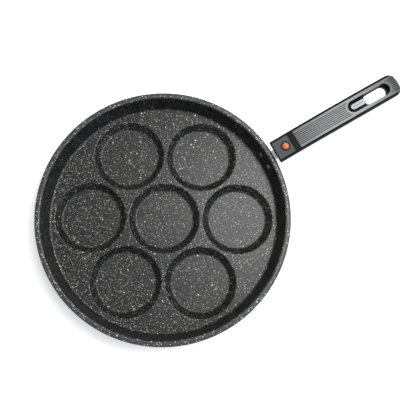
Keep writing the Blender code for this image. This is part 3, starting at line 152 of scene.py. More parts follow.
# Grooves and hang slot in the grip panel
GROOVES = 8
GROOVE_PITCH = 1.85 * MM
GROOVE_WIDTH = 0.85 * MM
GROOVE_COLLAR = 2.0 * MM
HANDLE_LENGTH = 145.4 * MM
SLOT_TO_TIP = 10.8 * MM
SLOT_LENGTH = 48.5 * MM
SLOT_WIDTH = 12.4 * MM
SLOT_END = HANDLE_LENGTH - SLOT_TO_TIP
SLOT_START = SLOT_END - SLOT_LENGTH

# Tones and painted shade on the moulded parts. A tint multiplies the colour below it.
GROOVE_EDGE = 0.06 * MM         # half the soft border of a groove's painted shade
GROOVE_SHADE_TINT = (0.08, 0.08, 0.09, 1.0)
GROOVE_ROUGHER = 0.4
RING_REACH = 0.55 * MM          # the painted shade ring round the button's skirt, and its soft border
RING_FADE = 0.75 * MM
RING_SHADE_TINT = (0.15, 0.12, 0.12, 1.0)
DOME_SHADE = 0.68               # from this share of its radius the button's dome gets a painted shade, darker towards its edge
DOME_SHADE_TINT = (0.62, 0.4, 0.34, 1.0)
SKIRT_INSIDE = 0.06 * MM        # the skirt's painted shade starts this far inside the cap's edge
SKIRT_OUTSIDE = 0.02 * MM       # and is full this far outside it
SKIRT_SHADE_TINT = (0.03, 0.05, 0.1, 1.0)
MOULDING_CLOUD_SCALE = 70.0

# Shading of the meshes
SHARP_ANGLE = math.radians(32.0)
FLAT_ANGLE = math.radians(0.6)  # faces that meet at less than this become one
BEVEL_ANGLE = math.radians(40.0)
BEVEL_SEGMENTS = 2

# Camera
CAMERA_AT = (-26.5, -77.8, 589.7)   # millimetres
CAMERA_HEADING = math.radians(-29.26)
CAMERA_PITCH = math.radians(9.83)
CAMERA_ROLL = math.radians(-2.22)
SENSOR_WIDTH = 36.0
FOCAL_PIXELS = 555.0
PICTURE_PIXELS = 400.0

# Studio
WHITE = (1.0, 1.0, 1.0)
FILL = 0.24                     # the room's light on the object; the room itself shows white
FLOOR_SIZE = 6.0
FLOOR_DROP = 0.1 * MM           # keeps the floor clear of the flat feet
FLOOR_TONE = 0.9
FLOOR_ROUGHNESS = 0.9
LIFT_NEAR = 0.5                 # how much the floor is brought up to white round the pan
LIFT_FAR = 0.75                 # and away from it
LIFT_START = 0.25
LIFT_END = 1.0
LAMPS = (                       # name, place, target, size, power, colour
    ("key", (0.37, 0.02, 1.05), (0.02, 0.0, 0.0), 0.5, 8.6, WHITE),
    ("side", (0.83, -0.46, 0.55), (0.0, 0.0, 0.01), 0.35, 3.0, WHITE),
    ("cool", (0.28, -0.75, 0.6), (0.0, 0.0, 0.02), 0.4, 1.4, (0.5, 0.66, 1.0)),
)

# Stone coating
GROUND_DARK = (0.0015, 0.0015, 0.0018)
GROUND_LIGHT = (0.02, 0.02, 0.0206)
RIM_PAINTED_SHEEN = (0.085, 0.085, 0.087)
RIM_SHEEN_LOW = RIM_Z - 2.6 * MM     # the rim's painted sheen, a lighter tone, starts at this height
RIM_SHEEN_HIGH = RIM_Z - 1.2 * MM    # and is full at this one
STEEP_SHADE_TINT = (0.42, 0.42, 0.44)
STEEP_START = 0.92              # the normal's upward part where the steep walls' painted shade starts,
STEEP_FULL = 0.5                # where it is full,
STEEP_UNDER = 0.1               # and how far either side of level it ends, on faces that look down
MOTTLE_SCALE = 900.0
PATCH_SCALE = 60.0
PEEL_SCALE = 320.0
JITTER_SCALE = 1400.0
JITTER = 0.12 * MM              # how far a point is moved to make the flecks uneven
FLECK_EDGE = 0.07 * MM
FLECK_DULL = 0.3                # the dullest fleck's share of its layer's colour
FLECKS = (                      # cell and least and most radius in mm, share of cells, colour
    (0.8, 0.20, 0.40, 0.70, (0.12, 0.12, 0.113)),
    (1.2, 0.18, 0.34, 0.75, (0.56, 0.555, 0.50)),
    (1.9, 0.30, 0.56, 0.78, (0.97, 0.96, 0.88)),
    (6.0, 0.50, 0.78, 0.75, (0.96, 0.95, 0.91)),
)

# Bare feet
BARE_FULL = 0.02 * MM           # below this height the foot is bare, above the next it's coated
BARE_NONE = 0.05 * MM
BARE_DARK = (0.36, 0.36, 0.37)
BARE_LIGHT = (0.66, 0.66, 0.67)
LATHE_PITCH = 0.45 * MM
SCUFF_SCALE = 240.0

# Steel
STEEL_GRAIN_SCALE = 900.0
STEEL_CLOUD_SCALE = 130.0
SCRATCH_STRETCH = (8.0, 1.0, 1.0)

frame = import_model()
nodes = frame["nodes"]

scene = bpy.context.scene
scene.view_settings.view_transform = "Standard"


# Camera, light and floor


def add_camera():
    """The camera that was fitted to the photograph's outlines."""
    place = Vector(CAMERA_AT) * MM
    turn = (
        Matrix.Rotation(CAMERA_HEADING, 4, "Z")
        @ Matrix.Rotation(CAMERA_PITCH, 4, "X")
        @ Matrix.Rotation(CAMERA_ROLL, 4, "Y")
    )
    data = bpy.data.cameras.new("camera")
    data.sensor_width = SENSOR_WIDTH
    data.lens = SENSOR_WIDTH * FOCAL_PIXELS / PICTURE_PIXELS
    camera = bpy.data.objects.new("camera", data)
    camera.matrix_world = Matrix.Translation(place) @ turn
    scene.collection.objects.link(camera)
    scene.camera = camera


def background_rays(tree):
    """1 for the rays that show the white background: the camera's and those in gloss or glass."""
    path = tree.nodes.new("ShaderNodeLightPath")
    seen = math_node(tree, "MAXIMUM", path.outputs["Is Camera Ray"], path.outputs["Is Glossy Ray"])
    return math_node(tree, "MAXIMUM", seen, path.outputs["Is Transmission Ray"])


def add_world():
    """A white room to the camera and in reflections, and a soft even fill on the object."""
    world = bpy.data.worlds.new("studio")
    world.use_nodes = True
    tree = world.node_tree
    tree.nodes.clear()
    mix = tree.nodes.new("ShaderNodeMixShader")
    tree.links.new(background_rays(tree), mix.inputs[0])
    for socket, strength in zip(mix.inputs[1:], (FILL, 1.0)):
        light = tree.nodes.new("ShaderNodeBackground")
        light.inputs["Color"].default_value = (*WHITE, 1.0)
        light.inputs["Strength"].default_value = strength
        tree.links.new(light.outputs[0], socket)
    out = tree.nodes.new("ShaderNodeOutputWorld")
    tree.links.new(mix.outputs[0], out.inputs["Surface"])
    scene.world = world


def add_area(name, place, target, size, power, colour):
    """A square lamp turned towards its target."""
    data = bpy.data.lights.new(name, "AREA")
    data.size = size
    data.energy = power
    data.color = colour
    lamp = bpy.data.objects.new(name, data)
    lamp.location = place
    lamp.rotation_euler = (Vector(target) - Vector(place)).to_track_quat("-Z", "Y").to_euler()
    scene.collection.objects.link(lamp)


def add_floor():
    """White paper floor, brought up to white only for the rays that show the background."""
    bpy.ops.mesh.primitive_plane_add(size=FLOOR_SIZE, location=(0.0, 0.0, -FLOOR_DROP))
    floor = bpy.context.object
    floor.name = "floor"
    material, tree, shader = new_material("floor")
    shader.inputs["Base Color"].default_value = (FLOOR_TONE, FLOOR_TONE, FLOOR_TONE, 1.0)
    shader.inputs["Roughness"].default_value = FLOOR_ROUGHNESS
    shader.inputs["Emission Color"].default_value = (*WHITE, 1.0)
    away = tree.nodes.new("ShaderNodeVectorMath")
    away.operation = "LENGTH"
    link(tree, position(tree), away.inputs[0])
    lift = map_range(tree, away.outputs["Value"], LIFT_START, LIFT_END, LIFT_NEAR, LIFT_FAR)
    glow = math_node(tree, "MULTIPLY", background_rays(tree), lift)
    tree.links.new(glow, shader.inputs["Emission Strength"])
    floor.data.materials.append(material)


# Nodes


def link(tree, source, target):
    """Puts a number or tuple on the target socket, or joins a source socket to it."""
    if isinstance(source, (int, float, tuple)):
        target.default_value = source
    else:
        tree.links.new(source, target)


def math_node(tree, operation, first, second=0.0, third=None):
    node = tree.nodes.new("ShaderNodeMath")
    node.operation = operation
    link(tree, first, node.inputs[0])
    link(tree, second, node.inputs[1])
    if third is not None:
        link(tree, third, node.inputs[2])
    return node.outputs[0]


def map_range(tree, value, low, high, to_low=0.0, to_high=1.0):
    """A smooth step from to_low to to_high, while the value goes from low to high."""
    node = tree.nodes.new("ShaderNodeMapRange")
    node.interpolation_type = "SMOOTHSTEP"
    link(tree, value, node.inputs["Value"])
    link(tree, low, node.inputs["From Min"])
    link(tree, high, node.inputs["From Max"])
    link(tree, to_low, node.inputs["To Min"])
    link(tree, to_high, node.inputs["To Max"])
    return node.outputs["Result"]


def noise(tree, vector, scale, detail=2.0, roughness=0.5):
    node = tree.nodes.new("ShaderNodeTexNoise")
    link(tree, vector, node.inputs["Vector"])
    node.inputs["Scale"].default_value = scale
    node.inputs["Detail"].default_value = detail
    node.inputs["Roughness"].default_value = roughness
    return node


def components(tree, vector):
    """The three parts of a vector socket."""
    node = tree.nodes.new("ShaderNodeSeparateXYZ")
    tree.links.new(vector, node.inputs[0])
    return node.outputs


def mix_colour(tree, share, first, second, blend="MIX"):
    node = tree.nodes.new("ShaderNodeMix")
    node.data_type = "RGBA"
    node.blend_type = blend
    link(tree, share, node.inputs[0])
    link(tree, first, node.inputs[6])
    link(tree, second, node.inputs[7])
    return node.outputs[2]


def position(tree, stretch=None, turn=0.0):
    """The point on the object in its own axes, in metres.

    It can be divided by a stretch in axes that are turned up by an angle about Y.
    """
    here = tree.nodes.new("ShaderNodeTexCoord").outputs["Object"]
    if stretch is None:
        return here
    mapping = tree.nodes.new("ShaderNodeMapping")
    mapping.vector_type = "TEXTURE"
    mapping.inputs["Rotation"].default_value = (0.0, -turn, 0.0)
    mapping.inputs["Scale"].default_value = stretch
    link(tree, here, mapping.inputs["Vector"])
    return mapping.outputs[0]


def along_handle(tree):
    """The point's X and Y in the handle's own axes, from the middle of its front."""
    mapping = tree.nodes.new("ShaderNodeMapping")
    mapping.vector_type = "TEXTURE"
    mapping.inputs["Location"].default_value = HANDLE_AT
    mapping.inputs["Rotation"].default_value = (0.0, -HANDLE_RISE, 0.0)
    link(tree, position(tree), mapping.inputs["Vector"])
    return components(tree, mapping.outputs[0])[:2]


def distance_to_line(tree, x, y, start, end):
    """How far (x, y) is from the line between two places on the X axis."""
    ahead = math_node(tree, "SUBTRACT", x, (start + end) / 2.0)
    ahead = math_node(tree, "SUBTRACT", math_node(tree, "ABSOLUTE", ahead), (end - start) / 2.0)
    ahead = math_node(tree, "MAXIMUM", ahead, 0.0)
    squares = math_node(
        tree, "ADD", math_node(tree, "MULTIPLY", ahead, ahead), math_node(tree, "MULTIPLY", y, y)
    )
    return math_node(tree, "SQRT", squares)


def shaded(tree, shader, mask, tint):
    """Multiplies the shader's colour by the tint where the mask is 1."""
    before = shader.inputs["Base Color"].links[0].from_socket
    tree.links.new(mix_colour(tree, mask, before, tint, "MULTIPLY"), shader.inputs["Base Color"])


def bump(tree, height, distance, strength=1.0, normal=None):
    node = tree.nodes.new("ShaderNodeBump")
    node.inputs["Strength"].default_value = strength
    node.inputs["Distance"].default_value = distance
    link(tree, height, node.inputs["Height"])
    if normal is not None:
        link(tree, normal, node.inputs["Normal"])
    return node.outputs[0]


def new_material(name):
    """A new material, its nodes and its shader."""
    material = bpy.data.materials.new(name)
    material.use_nodes = True
    return material, material.node_tree, material.node_tree.nodes["Principled BSDF"]


def specks(tree, here, cell, least, most, share, soft):
    """Round flecks at random points: 1 inside a fleck, 0 outside, and each fleck's own shade."""
    node = tree.nodes.new("ShaderNodeTexVoronoi")
    node.inputs["Scale"].default_value = 1.0 / cell
    link(tree, here, node.inputs["Vector"])
    parts = tree.nodes.new("ShaderNodeSeparateColor")
    tree.links.new(node.outputs["Color"], parts.inputs[0])
    radius = math_node(tree, "MULTIPLY_ADD", parts.outputs[0], (most - least) / cell, least / cell)
    inside = math_node(tree, "SUBTRACT", radius, node.outputs["Distance"])
    inside = map_range(tree, inside, 0.0, soft / cell)
    present = math_node(tree, "GREATER_THAN", parts.outputs[1], 1.0 - share)
    return math_node(tree, "MULTIPLY", inside, present), parts.outputs[2]


def coating(name, gloss=0.27, smooth=0.235):
    """Dark stone coating: fine grey mottle, four sizes of fleck and a slight orange peel.

    On the steep inner walls it gets a painted shade, darker than on the floors.
    """
    material, tree, shader = new_material(name)
    here = position(tree)
    jitter = noise(tree, here, JITTER_SCALE, 1.0)
    offset = tree.nodes.new("ShaderNodeVectorMath")
    offset.operation = "MULTIPLY_ADD"
    tree.links.new(jitter.outputs["Color"], offset.inputs[0])
    offset.inputs[1].default_value = (JITTER, JITTER, JITTER)
    tree.links.new(here, offset.inputs[2])
    uneven = offset.outputs[0]

    mottle = noise(tree, here, MOTTLE_SCALE, 3.0, 0.7).outputs[0]
    patch = noise(tree, here, PATCH_SCALE, 2.0).outputs[0]
    shade = math_node(tree, "MULTIPLY_ADD", patch, 0.3, mottle)
    ground = map_range(tree, shade, 0.45, 0.85)
    colour = mix_colour(tree, ground, (*GROUND_DARK, 1.0), (*GROUND_LIGHT, 1.0))
    # Painted sheen: a lighter grey on the rim's top, broken up by the mottle.
    rim_sheen = map_range(tree, components(tree, here)[2], RIM_SHEEN_LOW, RIM_SHEEN_HIGH)
    rim_sheen = math_node(tree, "MULTIPLY", rim_sheen, map_range(tree, mottle, 0.25, 0.8))
    colour = mix_colour(tree, rim_sheen, colour, (*RIM_PAINTED_SHEEN, 1.0))
    total = None
    for cell, least, most, share, tint in FLECKS:
        inside, own = specks(tree, uneven, cell * MM, least * MM, most * MM, share, FLECK_EDGE)
        dull = (*[part * FLECK_DULL for part in tint], 1.0)
        fleck = mix_colour(tree, own, dull, (*tint, 1.0))
        colour = mix_colour(tree, inside, colour, fleck)
        total = inside if total is None else math_node(tree, "MAXIMUM", total, inside)
    # Painted shade: the steep inner walls are darker than the floors, fully where they are
    # steepest.
    upward = components(tree, tree.nodes.new("ShaderNodeTexCoord").outputs["Normal"])[2]
    steep_shade = map_range(tree, upward, STEEP_START, STEEP_FULL)
    above = map_range(tree, upward, -STEEP_UNDER, STEEP_UNDER)
    steep_shade = math_node(tree, "MULTIPLY", steep_shade, above)
    colour = mix_colour(tree, steep_shade, colour, (*STEEP_SHADE_TINT, 1.0), "MULTIPLY")
    tree.links.new(colour, shader.inputs["Base Color"])
    shader.inputs["Specular IOR Level"].default_value = gloss
    rough = math_node(tree, "MULTIPLY_ADD", mottle, 0.14, smooth)
    rough = math_node(tree, "MULTIPLY_ADD", total, 0.03, rough)
    tree.links.new(rough, shader.inputs["Roughness"])
    grain = bump(tree, mottle, 0.06 * MM, 0.8)
    raised = bump(tree, total, 0.03 * MM, 0.5, grain)
    peel = bump(tree, noise(tree, here, PEEL_SCALE, 1.0).outputs[0], 0.06 * MM, 0.5, raised)
    tree.links.new(peel, shader.inputs["Normal"])
    return material, tree, shader, colour, rough


def pan_coating():
    """The stone coating, and on the feet bare aluminium, faced on a lathe about the middle."""
    material, tree, shader, colour, rough = coating("stone_coating")
    here = position(tree)
    x, y, z = components(tree, here)
    radius = distance_to_line(tree, x, y, 0.0, 0.0)
    ring = math_node(tree, "MULTIPLY", radius, 2.0 * math.pi / LATHE_PITCH)
    ring = math_node(tree, "SINE", ring)
    scuff = noise(tree, here, SCUFF_SCALE, 4.0, 0.65).outputs[0]
    bare = map_range(tree, z, BARE_NONE, BARE_FULL)
    shade = math_node(tree, "MULTIPLY_ADD", ring, 0.12, 0.5)
    shade = math_node(tree, "MULTIPLY_ADD", scuff, 0.4, shade)
    metal = mix_colour(tree, shade, (*BARE_DARK, 1.0), (*BARE_LIGHT, 1.0))
    tree.links.new(mix_colour(tree, bare, colour, metal), shader.inputs["Base Color"])
    tree.links.new(bare, shader.inputs["Metallic"])
    turned = math_node(tree, "MULTIPLY_ADD", scuff, 0.2, 0.22)
    spread = tree.nodes.new("ShaderNodeMix")
    tree.links.new(bare, spread.inputs[0])
    tree.links.new(rough, spread.inputs[2])
    tree.links.new(turned, spread.inputs[3])
    tree.links.new(spread.outputs[0], shader.inputs["Roughness"])
    marks = math_node(tree, "MULTIPLY", ring, bare)
    before = shader.inputs["Normal"].links[0].from_socket
    tree.links.new(bump(tree, marks, 0.02 * MM, 0.7, before), shader.inputs["Normal"])
    return material


def steel(name, tone=0.78, smooth=0.16):
    """Rolled steel with fine lengthwise scratches and a little clouding."""
    material, tree, shader = new_material(name)
    stretched = position(tree, SCRATCH_STRETCH, HANDLE_RISE)
    grain = noise(tree, stretched, STEEL_GRAIN_SCALE, 3.0, 0.6).outputs[0]
    cloud = noise(tree, position(tree), STEEL_CLOUD_SCALE, 3.0).outputs[0]
    mixed = math_node(tree, "MULTIPLY_ADD", grain, 0.6, math_node(tree, "MULTIPLY", cloud, 0.4))
    dark = (tone * 0.82, tone * 0.82, tone * 0.84, 1.0)
    light = (tone * 1.12, tone * 1.12, tone * 1.12, 1.0)
    tree.links.new(mix_colour(tree, mixed, dark, light), shader.inputs["Base Color"])
    shader.inputs["Metallic"].default_value = 1.0
    rough = math_node(tree, "MULTIPLY_ADD", mixed, 0.22, smooth)
    tree.links.new(rough, shader.inputs["Roughness"])
    tree.links.new(bump(tree, grain, 0.012 * MM, 0.5), shader.inputs["Normal"])
    return material


def moulding(name, dark, light, rough_low, rough_high, grain=1500.0, depth=0.03, gloss=0.5):
    """Moulded plastic: fine spark-eroded grain and slow clouding in tone and gloss."""
    material, tree, shader = new_material(name)
    here = position(tree)
    fine = noise(tree, here, grain, 2.0, 0.6).outputs[0]
    cloud = noise(tree, here, MOULDING_CLOUD_SCALE, 3.0).outputs[0]
    mixed = math_node(tree, "MULTIPLY_ADD", fine, 0.5, math_node(tree, "MULTIPLY", cloud, 0.5))
    colour = mix_colour(tree, map_range(tree, mixed, 0.3, 0.7), (*dark, 1.0), (*light, 1.0))
    tree.links.new(colour, shader.inputs["Base Color"])
    shader.inputs["Specular IOR Level"].default_value = gloss
    rough = math_node(tree, "MULTIPLY_ADD", mixed, rough_high - rough_low, rough_low)
    tree.links.new(rough, shader.inputs["Roughness"])
    tree.links.new(bump(tree, fine, depth * MM, 0.6), shader.inputs["Normal"])
    return material, tree, shader


def panel_moulding():
    """Satin grey plastic whose grooves, which stop short of the hang slot, hold a painted shade.
    """
    material, tree, shader = moulding(
        "grey_panel", (0.052, 0.055, 0.062), (0.080, 0.084, 0.096), 0.24, 0.36, 1900.0, 0.012, 0.6
    )
    x, y = along_handle(tree)
    half = GROOVE_PITCH / 2.0
    off = math_node(tree, "PINGPONG", y, half)
    edge = half - GROOVE_WIDTH / 2.0
    groove = map_range(tree, off, edge - GROOVE_EDGE, edge + GROOVE_EDGE)
    across = math_node(tree, "LESS_THAN", math_node(tree, "ABSOLUTE", y), GROOVES * half)
    reach = SLOT_WIDTH / 2.0
    clear = distance_to_line(tree, x, y, SLOT_START + reach, SLOT_END - reach)
    clear = math_node(tree, "GREATER_THAN", clear, reach + GROOVE_COLLAR)
    # Painted shade in the grooves, which also get rougher.
    mask = math_node(tree, "MULTIPLY", math_node(tree, "MULTIPLY", groove, across), clear)
    shaded(tree, shader, mask, GROOVE_SHADE_TINT)
    rough = shader.inputs["Roughness"].links[0].from_socket
    rough = math_node(tree, "MULTIPLY_ADD", mask, GROOVE_ROUGHER, rough)
    tree.links.new(rough, shader.inputs["Roughness"])
    return material


def plate_moulding():
    """Dark grey plastic, with a painted shade in the sunk ring round the button."""
    material, tree, shader = moulding(
        "dark_plate", (0.062, 0.063, 0.068), (0.094, 0.095, 0.101), 0.46, 0.6, 1700.0, 0.03, 0.2
    )
    x, y = along_handle(tree)
    radius = distance_to_line(tree, x, y, BUTTON_AT, BUTTON_AT)
    edge = BUTTON_RADIUS + BUTTON_SKIRT
    # Painted shade in the sunk ring round the button.
    ring = map_range(tree, radius, edge + RING_FADE, edge + RING_REACH)
    shaded(tree, shader, ring, RING_SHADE_TINT)
    return material


def button_moulding():
    """Orange plastic on the domed cap, with painted shade towards the dome's edge, on the skirt
    round it and on the parts below.
    """
    material, tree, shader = moulding(
        "orange_button", (0.66, 0.175, 0.075), (0.82, 0.25, 0.11), 0.28, 0.4, 1200.0, 0.012, 0.3
    )
    x, y = along_handle(tree)
    radius = distance_to_line(tree, x, y, BUTTON_AT, BUTTON_AT)
    # Painted shade on the skirt and on everything outside the cap's edge.
    skirt = map_range(tree, radius, BUTTON_RADIUS - SKIRT_INSIDE, BUTTON_RADIUS + SKIRT_OUTSIDE)
    # Painted shade: the dome gets darker towards its edge, for its roundness.
    dome_edge_shade = map_range(tree, radius, BUTTON_RADIUS * DOME_SHADE, BUTTON_RADIUS)
    shaded(tree, shader, dome_edge_shade, DOME_SHADE_TINT)
    shaded(tree, shader, skirt, SKIRT_SHADE_TINT)
    return material


# Shapes


def rounded(corners):
    """Turns (x, y, radius) corners of an open line into points, with an arc at each radius."""
    points = []
    last = len(corners) - 1
    for index, (x, y, radius) in enumerate(corners):
        here = Vector((x, y))
        if radius == 0.0 or index in (0, last):
            points.append(here)
            continue
        before = (Vector(corners[index - 1][:2]) - here).normalized()
        after = (Vector(corners[index + 1][:2]) - here).normalized()
        turn = math.pi - before.angle(after)
        middle = here + (before + after).normalized() * radius / math.cos(turn / 2.0)
        start = here + before * radius * math.tan(turn / 2.0) - middle
        side = 1.0 if before.cross(after) < 0.0 else -1.0
        steps = max(1, math.ceil(turn / ARC_STEP - ARC_SLACK))
        for step in range(steps + 1):
            angle = side * turn * step / steps
            cosine = math.cos(angle)
            sine = math.sin(angle)
            swing = Vector((start.x * cosine - start.y * sine, start.x * sine + start.y * cosine))
            points.append(middle + swing)
    return points


def dome(radius, height, base, up=True):
    """Points of a shallow dome, from its top to its edge, or from edge to top if not up."""
    ball = (radius**2 + height**2) / (2.0 * height)
    reach = math.asin(radius / ball)
    points = []
    for step in range(DOME_STEPS + 1):
        angle = reach * step / DOME_STEPS
        lift = ball * math.cos(angle) - (ball - height)
        points.append(Vector((ball * math.sin(angle), base + lift if up else base - lift)))
    return points if up else points[::-1]


def finish_shading(mesh):
    """Smooth faces, with a crease where they meet at more than the sharp angle."""
    mesh.shade_smooth()
    mesh.set_sharp_from_angle(angle=SHARP_ANGLE)


def turned_mesh(name, points, steps, along_x=False):
    """A solid of revolution about Z, or about X. Its line starts and ends on the axis."""
    line = bpy.data.meshes.new(name)
    edges = [(index, index + 1) for index in range(len(points) - 1)]
    line.from_pydata([(point.x, 0.0, point.y) for point in points], edges, [])
    source = bpy.data.objects.new(name, line)
    scene.collection.objects.link(source)
    screw = source.modifiers.new("turn", "SCREW")
    screw.steps = steps
    screw.render_steps = steps
    screw.use_merge_vertices = True
    screw.merge_threshold = MERGE
    mesh = taken(source, name)
    if along_x:
        mesh.transform(Matrix(((0, 0, 1, 0), (1, 0, 0, 0), (0, 1, 0, 0), (0, 0, 0, 1))))
    return mesh


def taken(source, name):
    """The evaluated mesh of a construction object, which is then removed."""
    evaluated = source.evaluated_get(bpy.context.evaluated_depsgraph_get())
    mesh = bpy.data.meshes.new_from_object(evaluated)
    bpy.data.objects.remove(source, do_unlink=True)
    mesh.name = name
    work = bmesh.new()
    work.from_mesh(mesh)
    bmesh.ops.remove_doubles(work, verts=work.verts, dist=MERGE)
    bmesh.ops.recalc_face_normals(work, faces=work.faces)
    work.to_mesh(mesh)
    work.free()
    finish_shading(mesh)
    return mesh


def prism_mesh(name, outline, low, high):
    """A block with a (y, z) outline, from low to high along X."""
    mesh = bpy.data.meshes.new(name)
    work = bmesh.new()
    near = [work.verts.new((low, y, z)) for y, z in outline]
    far = [work.verts.new((high, y, z)) for y, z in outline]
    work.faces.new(near)
    work.faces.new(far)
    for index in range(len(outline)):
        following = (index + 1) % len(outline)
        work.faces.new((near[index], near[following], far[following], far[index]))
    bmesh.ops.recalc_face_normals(work, faces=work.faces)
    work.to_mesh(mesh)
    work.free()
    return mesh


def helper(name, mesh, matrix):
    """A construction object that a Boolean takes up."""
    item = bpy.data.objects.new(name, mesh)
    item.matrix_world = matrix
    scene.collection.objects.link(item)
    return item


def combined(name, mesh, steps):
    """A mesh after each (operation, helpers) step of exact Booleans."""
    source = bpy.data.objects.new(name, mesh)
    scene.collection.objects.link(source)
    groups = []
    for operation, helpers in steps:
        group = bpy.data.collections.new(f"{name}_{operation.lower()}")
        for item in helpers:
            scene.collection.objects.unlink(item)
            group.objects.link(item)
        scene.collection.children.link(group)
        modifier = source.modifiers.new(operation.lower(), "BOOLEAN")
        modifier.operation = operation
        modifier.solver = "EXACT"
        modifier.operand_type = "COLLECTION"
        modifier.collection = group
        groups.append(group)
    bpy.context.view_layer.update()
    result = taken(source, name)
    for group in groups:
        for item in list(group.objects):
            bpy.data.objects.remove(item, do_unlink=True)
        bpy.data.collections.remove(group)
    return result


def add_piece(name, mesh, material, body, replaced, matrix=None, bends=None):
    """A finished piece: it stands for a node of the frame and rides on that node's body.

    One given bend points is baked in place and rides on no body; the bend points themselves are
    not used.
    """
    if matrix is not None:
        mesh.transform(matrix)
    mesh.materials.clear()
    mesh.materials.append(material)
    piece = bpy.data.objects.new(name, mesh)
    scene.collection.objects.link(piece)
    piece.modifiers.new("flat_faces", "WEIGHTED_NORMAL").keep_sharp = True
    if bends:
        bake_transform(piece)
    else:
        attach(piece, body)
    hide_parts(replaced)
    return piece


def wall_radius(z):
    """The inner wall's radius at a height."""
    return LAND_RADIUS + WALL_FLARE * (z - LAND_Z) / SIDE_DEPTH


DRAFT = math.atan2(WALL_FLARE, SIDE_DEPTH)
RIVET_Z = RIM_Z - RIVET_DROP
BOSS_FACE = WALL * math.cos(DRAFT) + BOSS_RAISE
BRACKET_MIDDLE = BOSS_FACE + GAP + BRACKET_SHEET / 2.0
RIVET_AT = (wall_radius(RIVET_Z), 0.0, RIVET_Z)
BRACKET_FRAME = Matrix.Translation(RIVET_AT) @ Matrix.Rotation(DRAFT, 4, "Y")
HANDLE_FRAME = Matrix.Translation(HANDLE_AT) @ Matrix.Rotation(-HANDLE_RISE, 4, "Y")


def well_places():
    """Where the middle well and the six round it are."""
    places = [Matrix.Identity(4)]
    for index in range(OUTER_WELLS):
        angle = 2.0 * math.pi * (index + 0.5) / OUTER_WELLS
        places.append(
            Matrix.Translation((WELL_PITCH * math.cos(angle), WELL_PITCH * math.sin(angle), 0.0))
        )
    return places


def pan_mesh():
    """The casting: a turned bowl joined to seven cups and a pad, with wells and holes cut."""
    bead_foot = RIM_Z - RIM_BEAD - RIM_BEAD_TAPER
    bowl = rounded([
        (0.0, LAND_Z, 0.0),
        (LAND_RADIUS, LAND_Z, LAND_FILLET),
        (RIM_INNER, RIM_Z, RIM_ROUNDING),
        (RIM_RADIUS, RIM_Z, RIM_ROUNDING),
        (RIM_RADIUS, RIM_Z - RIM_BEAD, BEAD_ROUNDING),
        (wall_radius(bead_foot) + WALL, bead_foot, BEAD_ROUNDING),
        (wall_radius(UNDER_Z) + WALL, UNDER_Z, BASE_FILLET),
        (0.0, UNDER_Z, 0.0),
    ])
    lean = WELL_SLOPE / WELL_DEPTH
    outside = WELL_RADIUS + CUP_WALL * math.hypot(WELL_SLOPE, WELL_DEPTH) / WELL_DEPTH
    top = UNDER_Z + CUP_ROOT
    foot = outside - LAND_Z * lean
    cup = rounded([
        (0.0, top, 0.0),
        (outside - (LAND_Z - top) * lean, top, 0.0),
        (foot + FOOT_CHAMFER * lean, FOOT_CHAMFER, FOOT_ROUNDING),
        (foot - FOOT_CHAMFER * lean, 0.0, FOOT_ROUNDING),
        (0.0, 0.0, 0.0),
    ])
    line = rounded([
        (WELL_RADIUS + 4.0 * WELL_LIP, LAND_Z, 0.0),
        (WELL_RADIUS, LAND_Z, WELL_LIP),
        (WELL_RADIUS - WELL_SLOPE, WELL_FLOOR, WELL_FILLET),
        (0.0, WELL_FLOOR, 0.0),
    ])
    lip, below = line[1:3]
    over = lip + (lip - below) * LIP_RISE / (lip.y - below.y)
    well = [Vector((0.0, over.y)), over, *line[2:]]
    cup = turned_mesh("cup", cup, WELL_STEPS)
    well = turned_mesh("well", well, WELL_STEPS)
    side = BRACKET_SIDE + BOSS_BORDER
    low = -BRACKET_BELOW - BOSS_BORDER
    high = BRACKET_ABOVE + BOSS_BORDER
    corner = BRACKET_CORNER + BOSS_BORDER
    pad_line = rounded([
        (0.0, low, 0.0),
        (side, low, corner),
        (side, high, corner),
        (-side, high, corner),
        (-side, low, corner),
        (0.0, low, 0.0),
    ])[:-1]
    pad = prism_mesh("pad", [(point.x, point.y) for point in pad_line], WALL / 2.0, BOSS_FACE)
    joined = [helper("cup", cup, place) for place in well_places()]
    joined.append(helper("pad", pad, BRACKET_FRAME))
    cut = [helper("well", well, place) for place in well_places()]
    reach = RIVET_RADIUS + GAP
    hole = turned_mesh(
        "rivet_hole",
        [Vector((0.0, LONG)), Vector((reach, LONG)), Vector((reach, -WALL)), Vector((0.0, -WALL))],
        RIVET_STEPS,
        along_x=True,
    )
    for sign in (-0.5, 0.5):
        shift = Matrix.Translation((0.0, sign * RIVET_SPACING, 0.0))
        cut.append(helper("rivet_hole", hole, BRACKET_FRAME @ shift))
    bowl = turned_mesh("bowl", bowl, PAN_STEPS)
    return combined("pan", bowl, [("UNION", joined), ("DIFFERENCE", cut)])


def rivet_mesh(name):
    """A rivet through the wall and the bracket, with a dome at each end."""
    inner = wall_radius(RIVET_Z)
    reach = RIVET_SPACING / 2.0 + RIVET_HEAD_RADIUS
    head_seat = -(inner - math.sqrt(inner**2 - reach**2)) - GAP
    tail_seat = BRACKET_MIDDLE + BRACKET_SHEET / 2.0 + GAP
    line = dome(RIVET_TAIL_RADIUS, RIVET_TAIL_HEIGHT, tail_seat)
    line += [Vector((RIVET_RADIUS, tail_seat)), Vector((RIVET_RADIUS, head_seat))]
    line += dome(RIVET_HEAD_RADIUS, RIVET_HEAD_HEIGHT, head_seat, up=False)
    return turned_mesh(name, line, RIVET_STEPS, along_x=True)


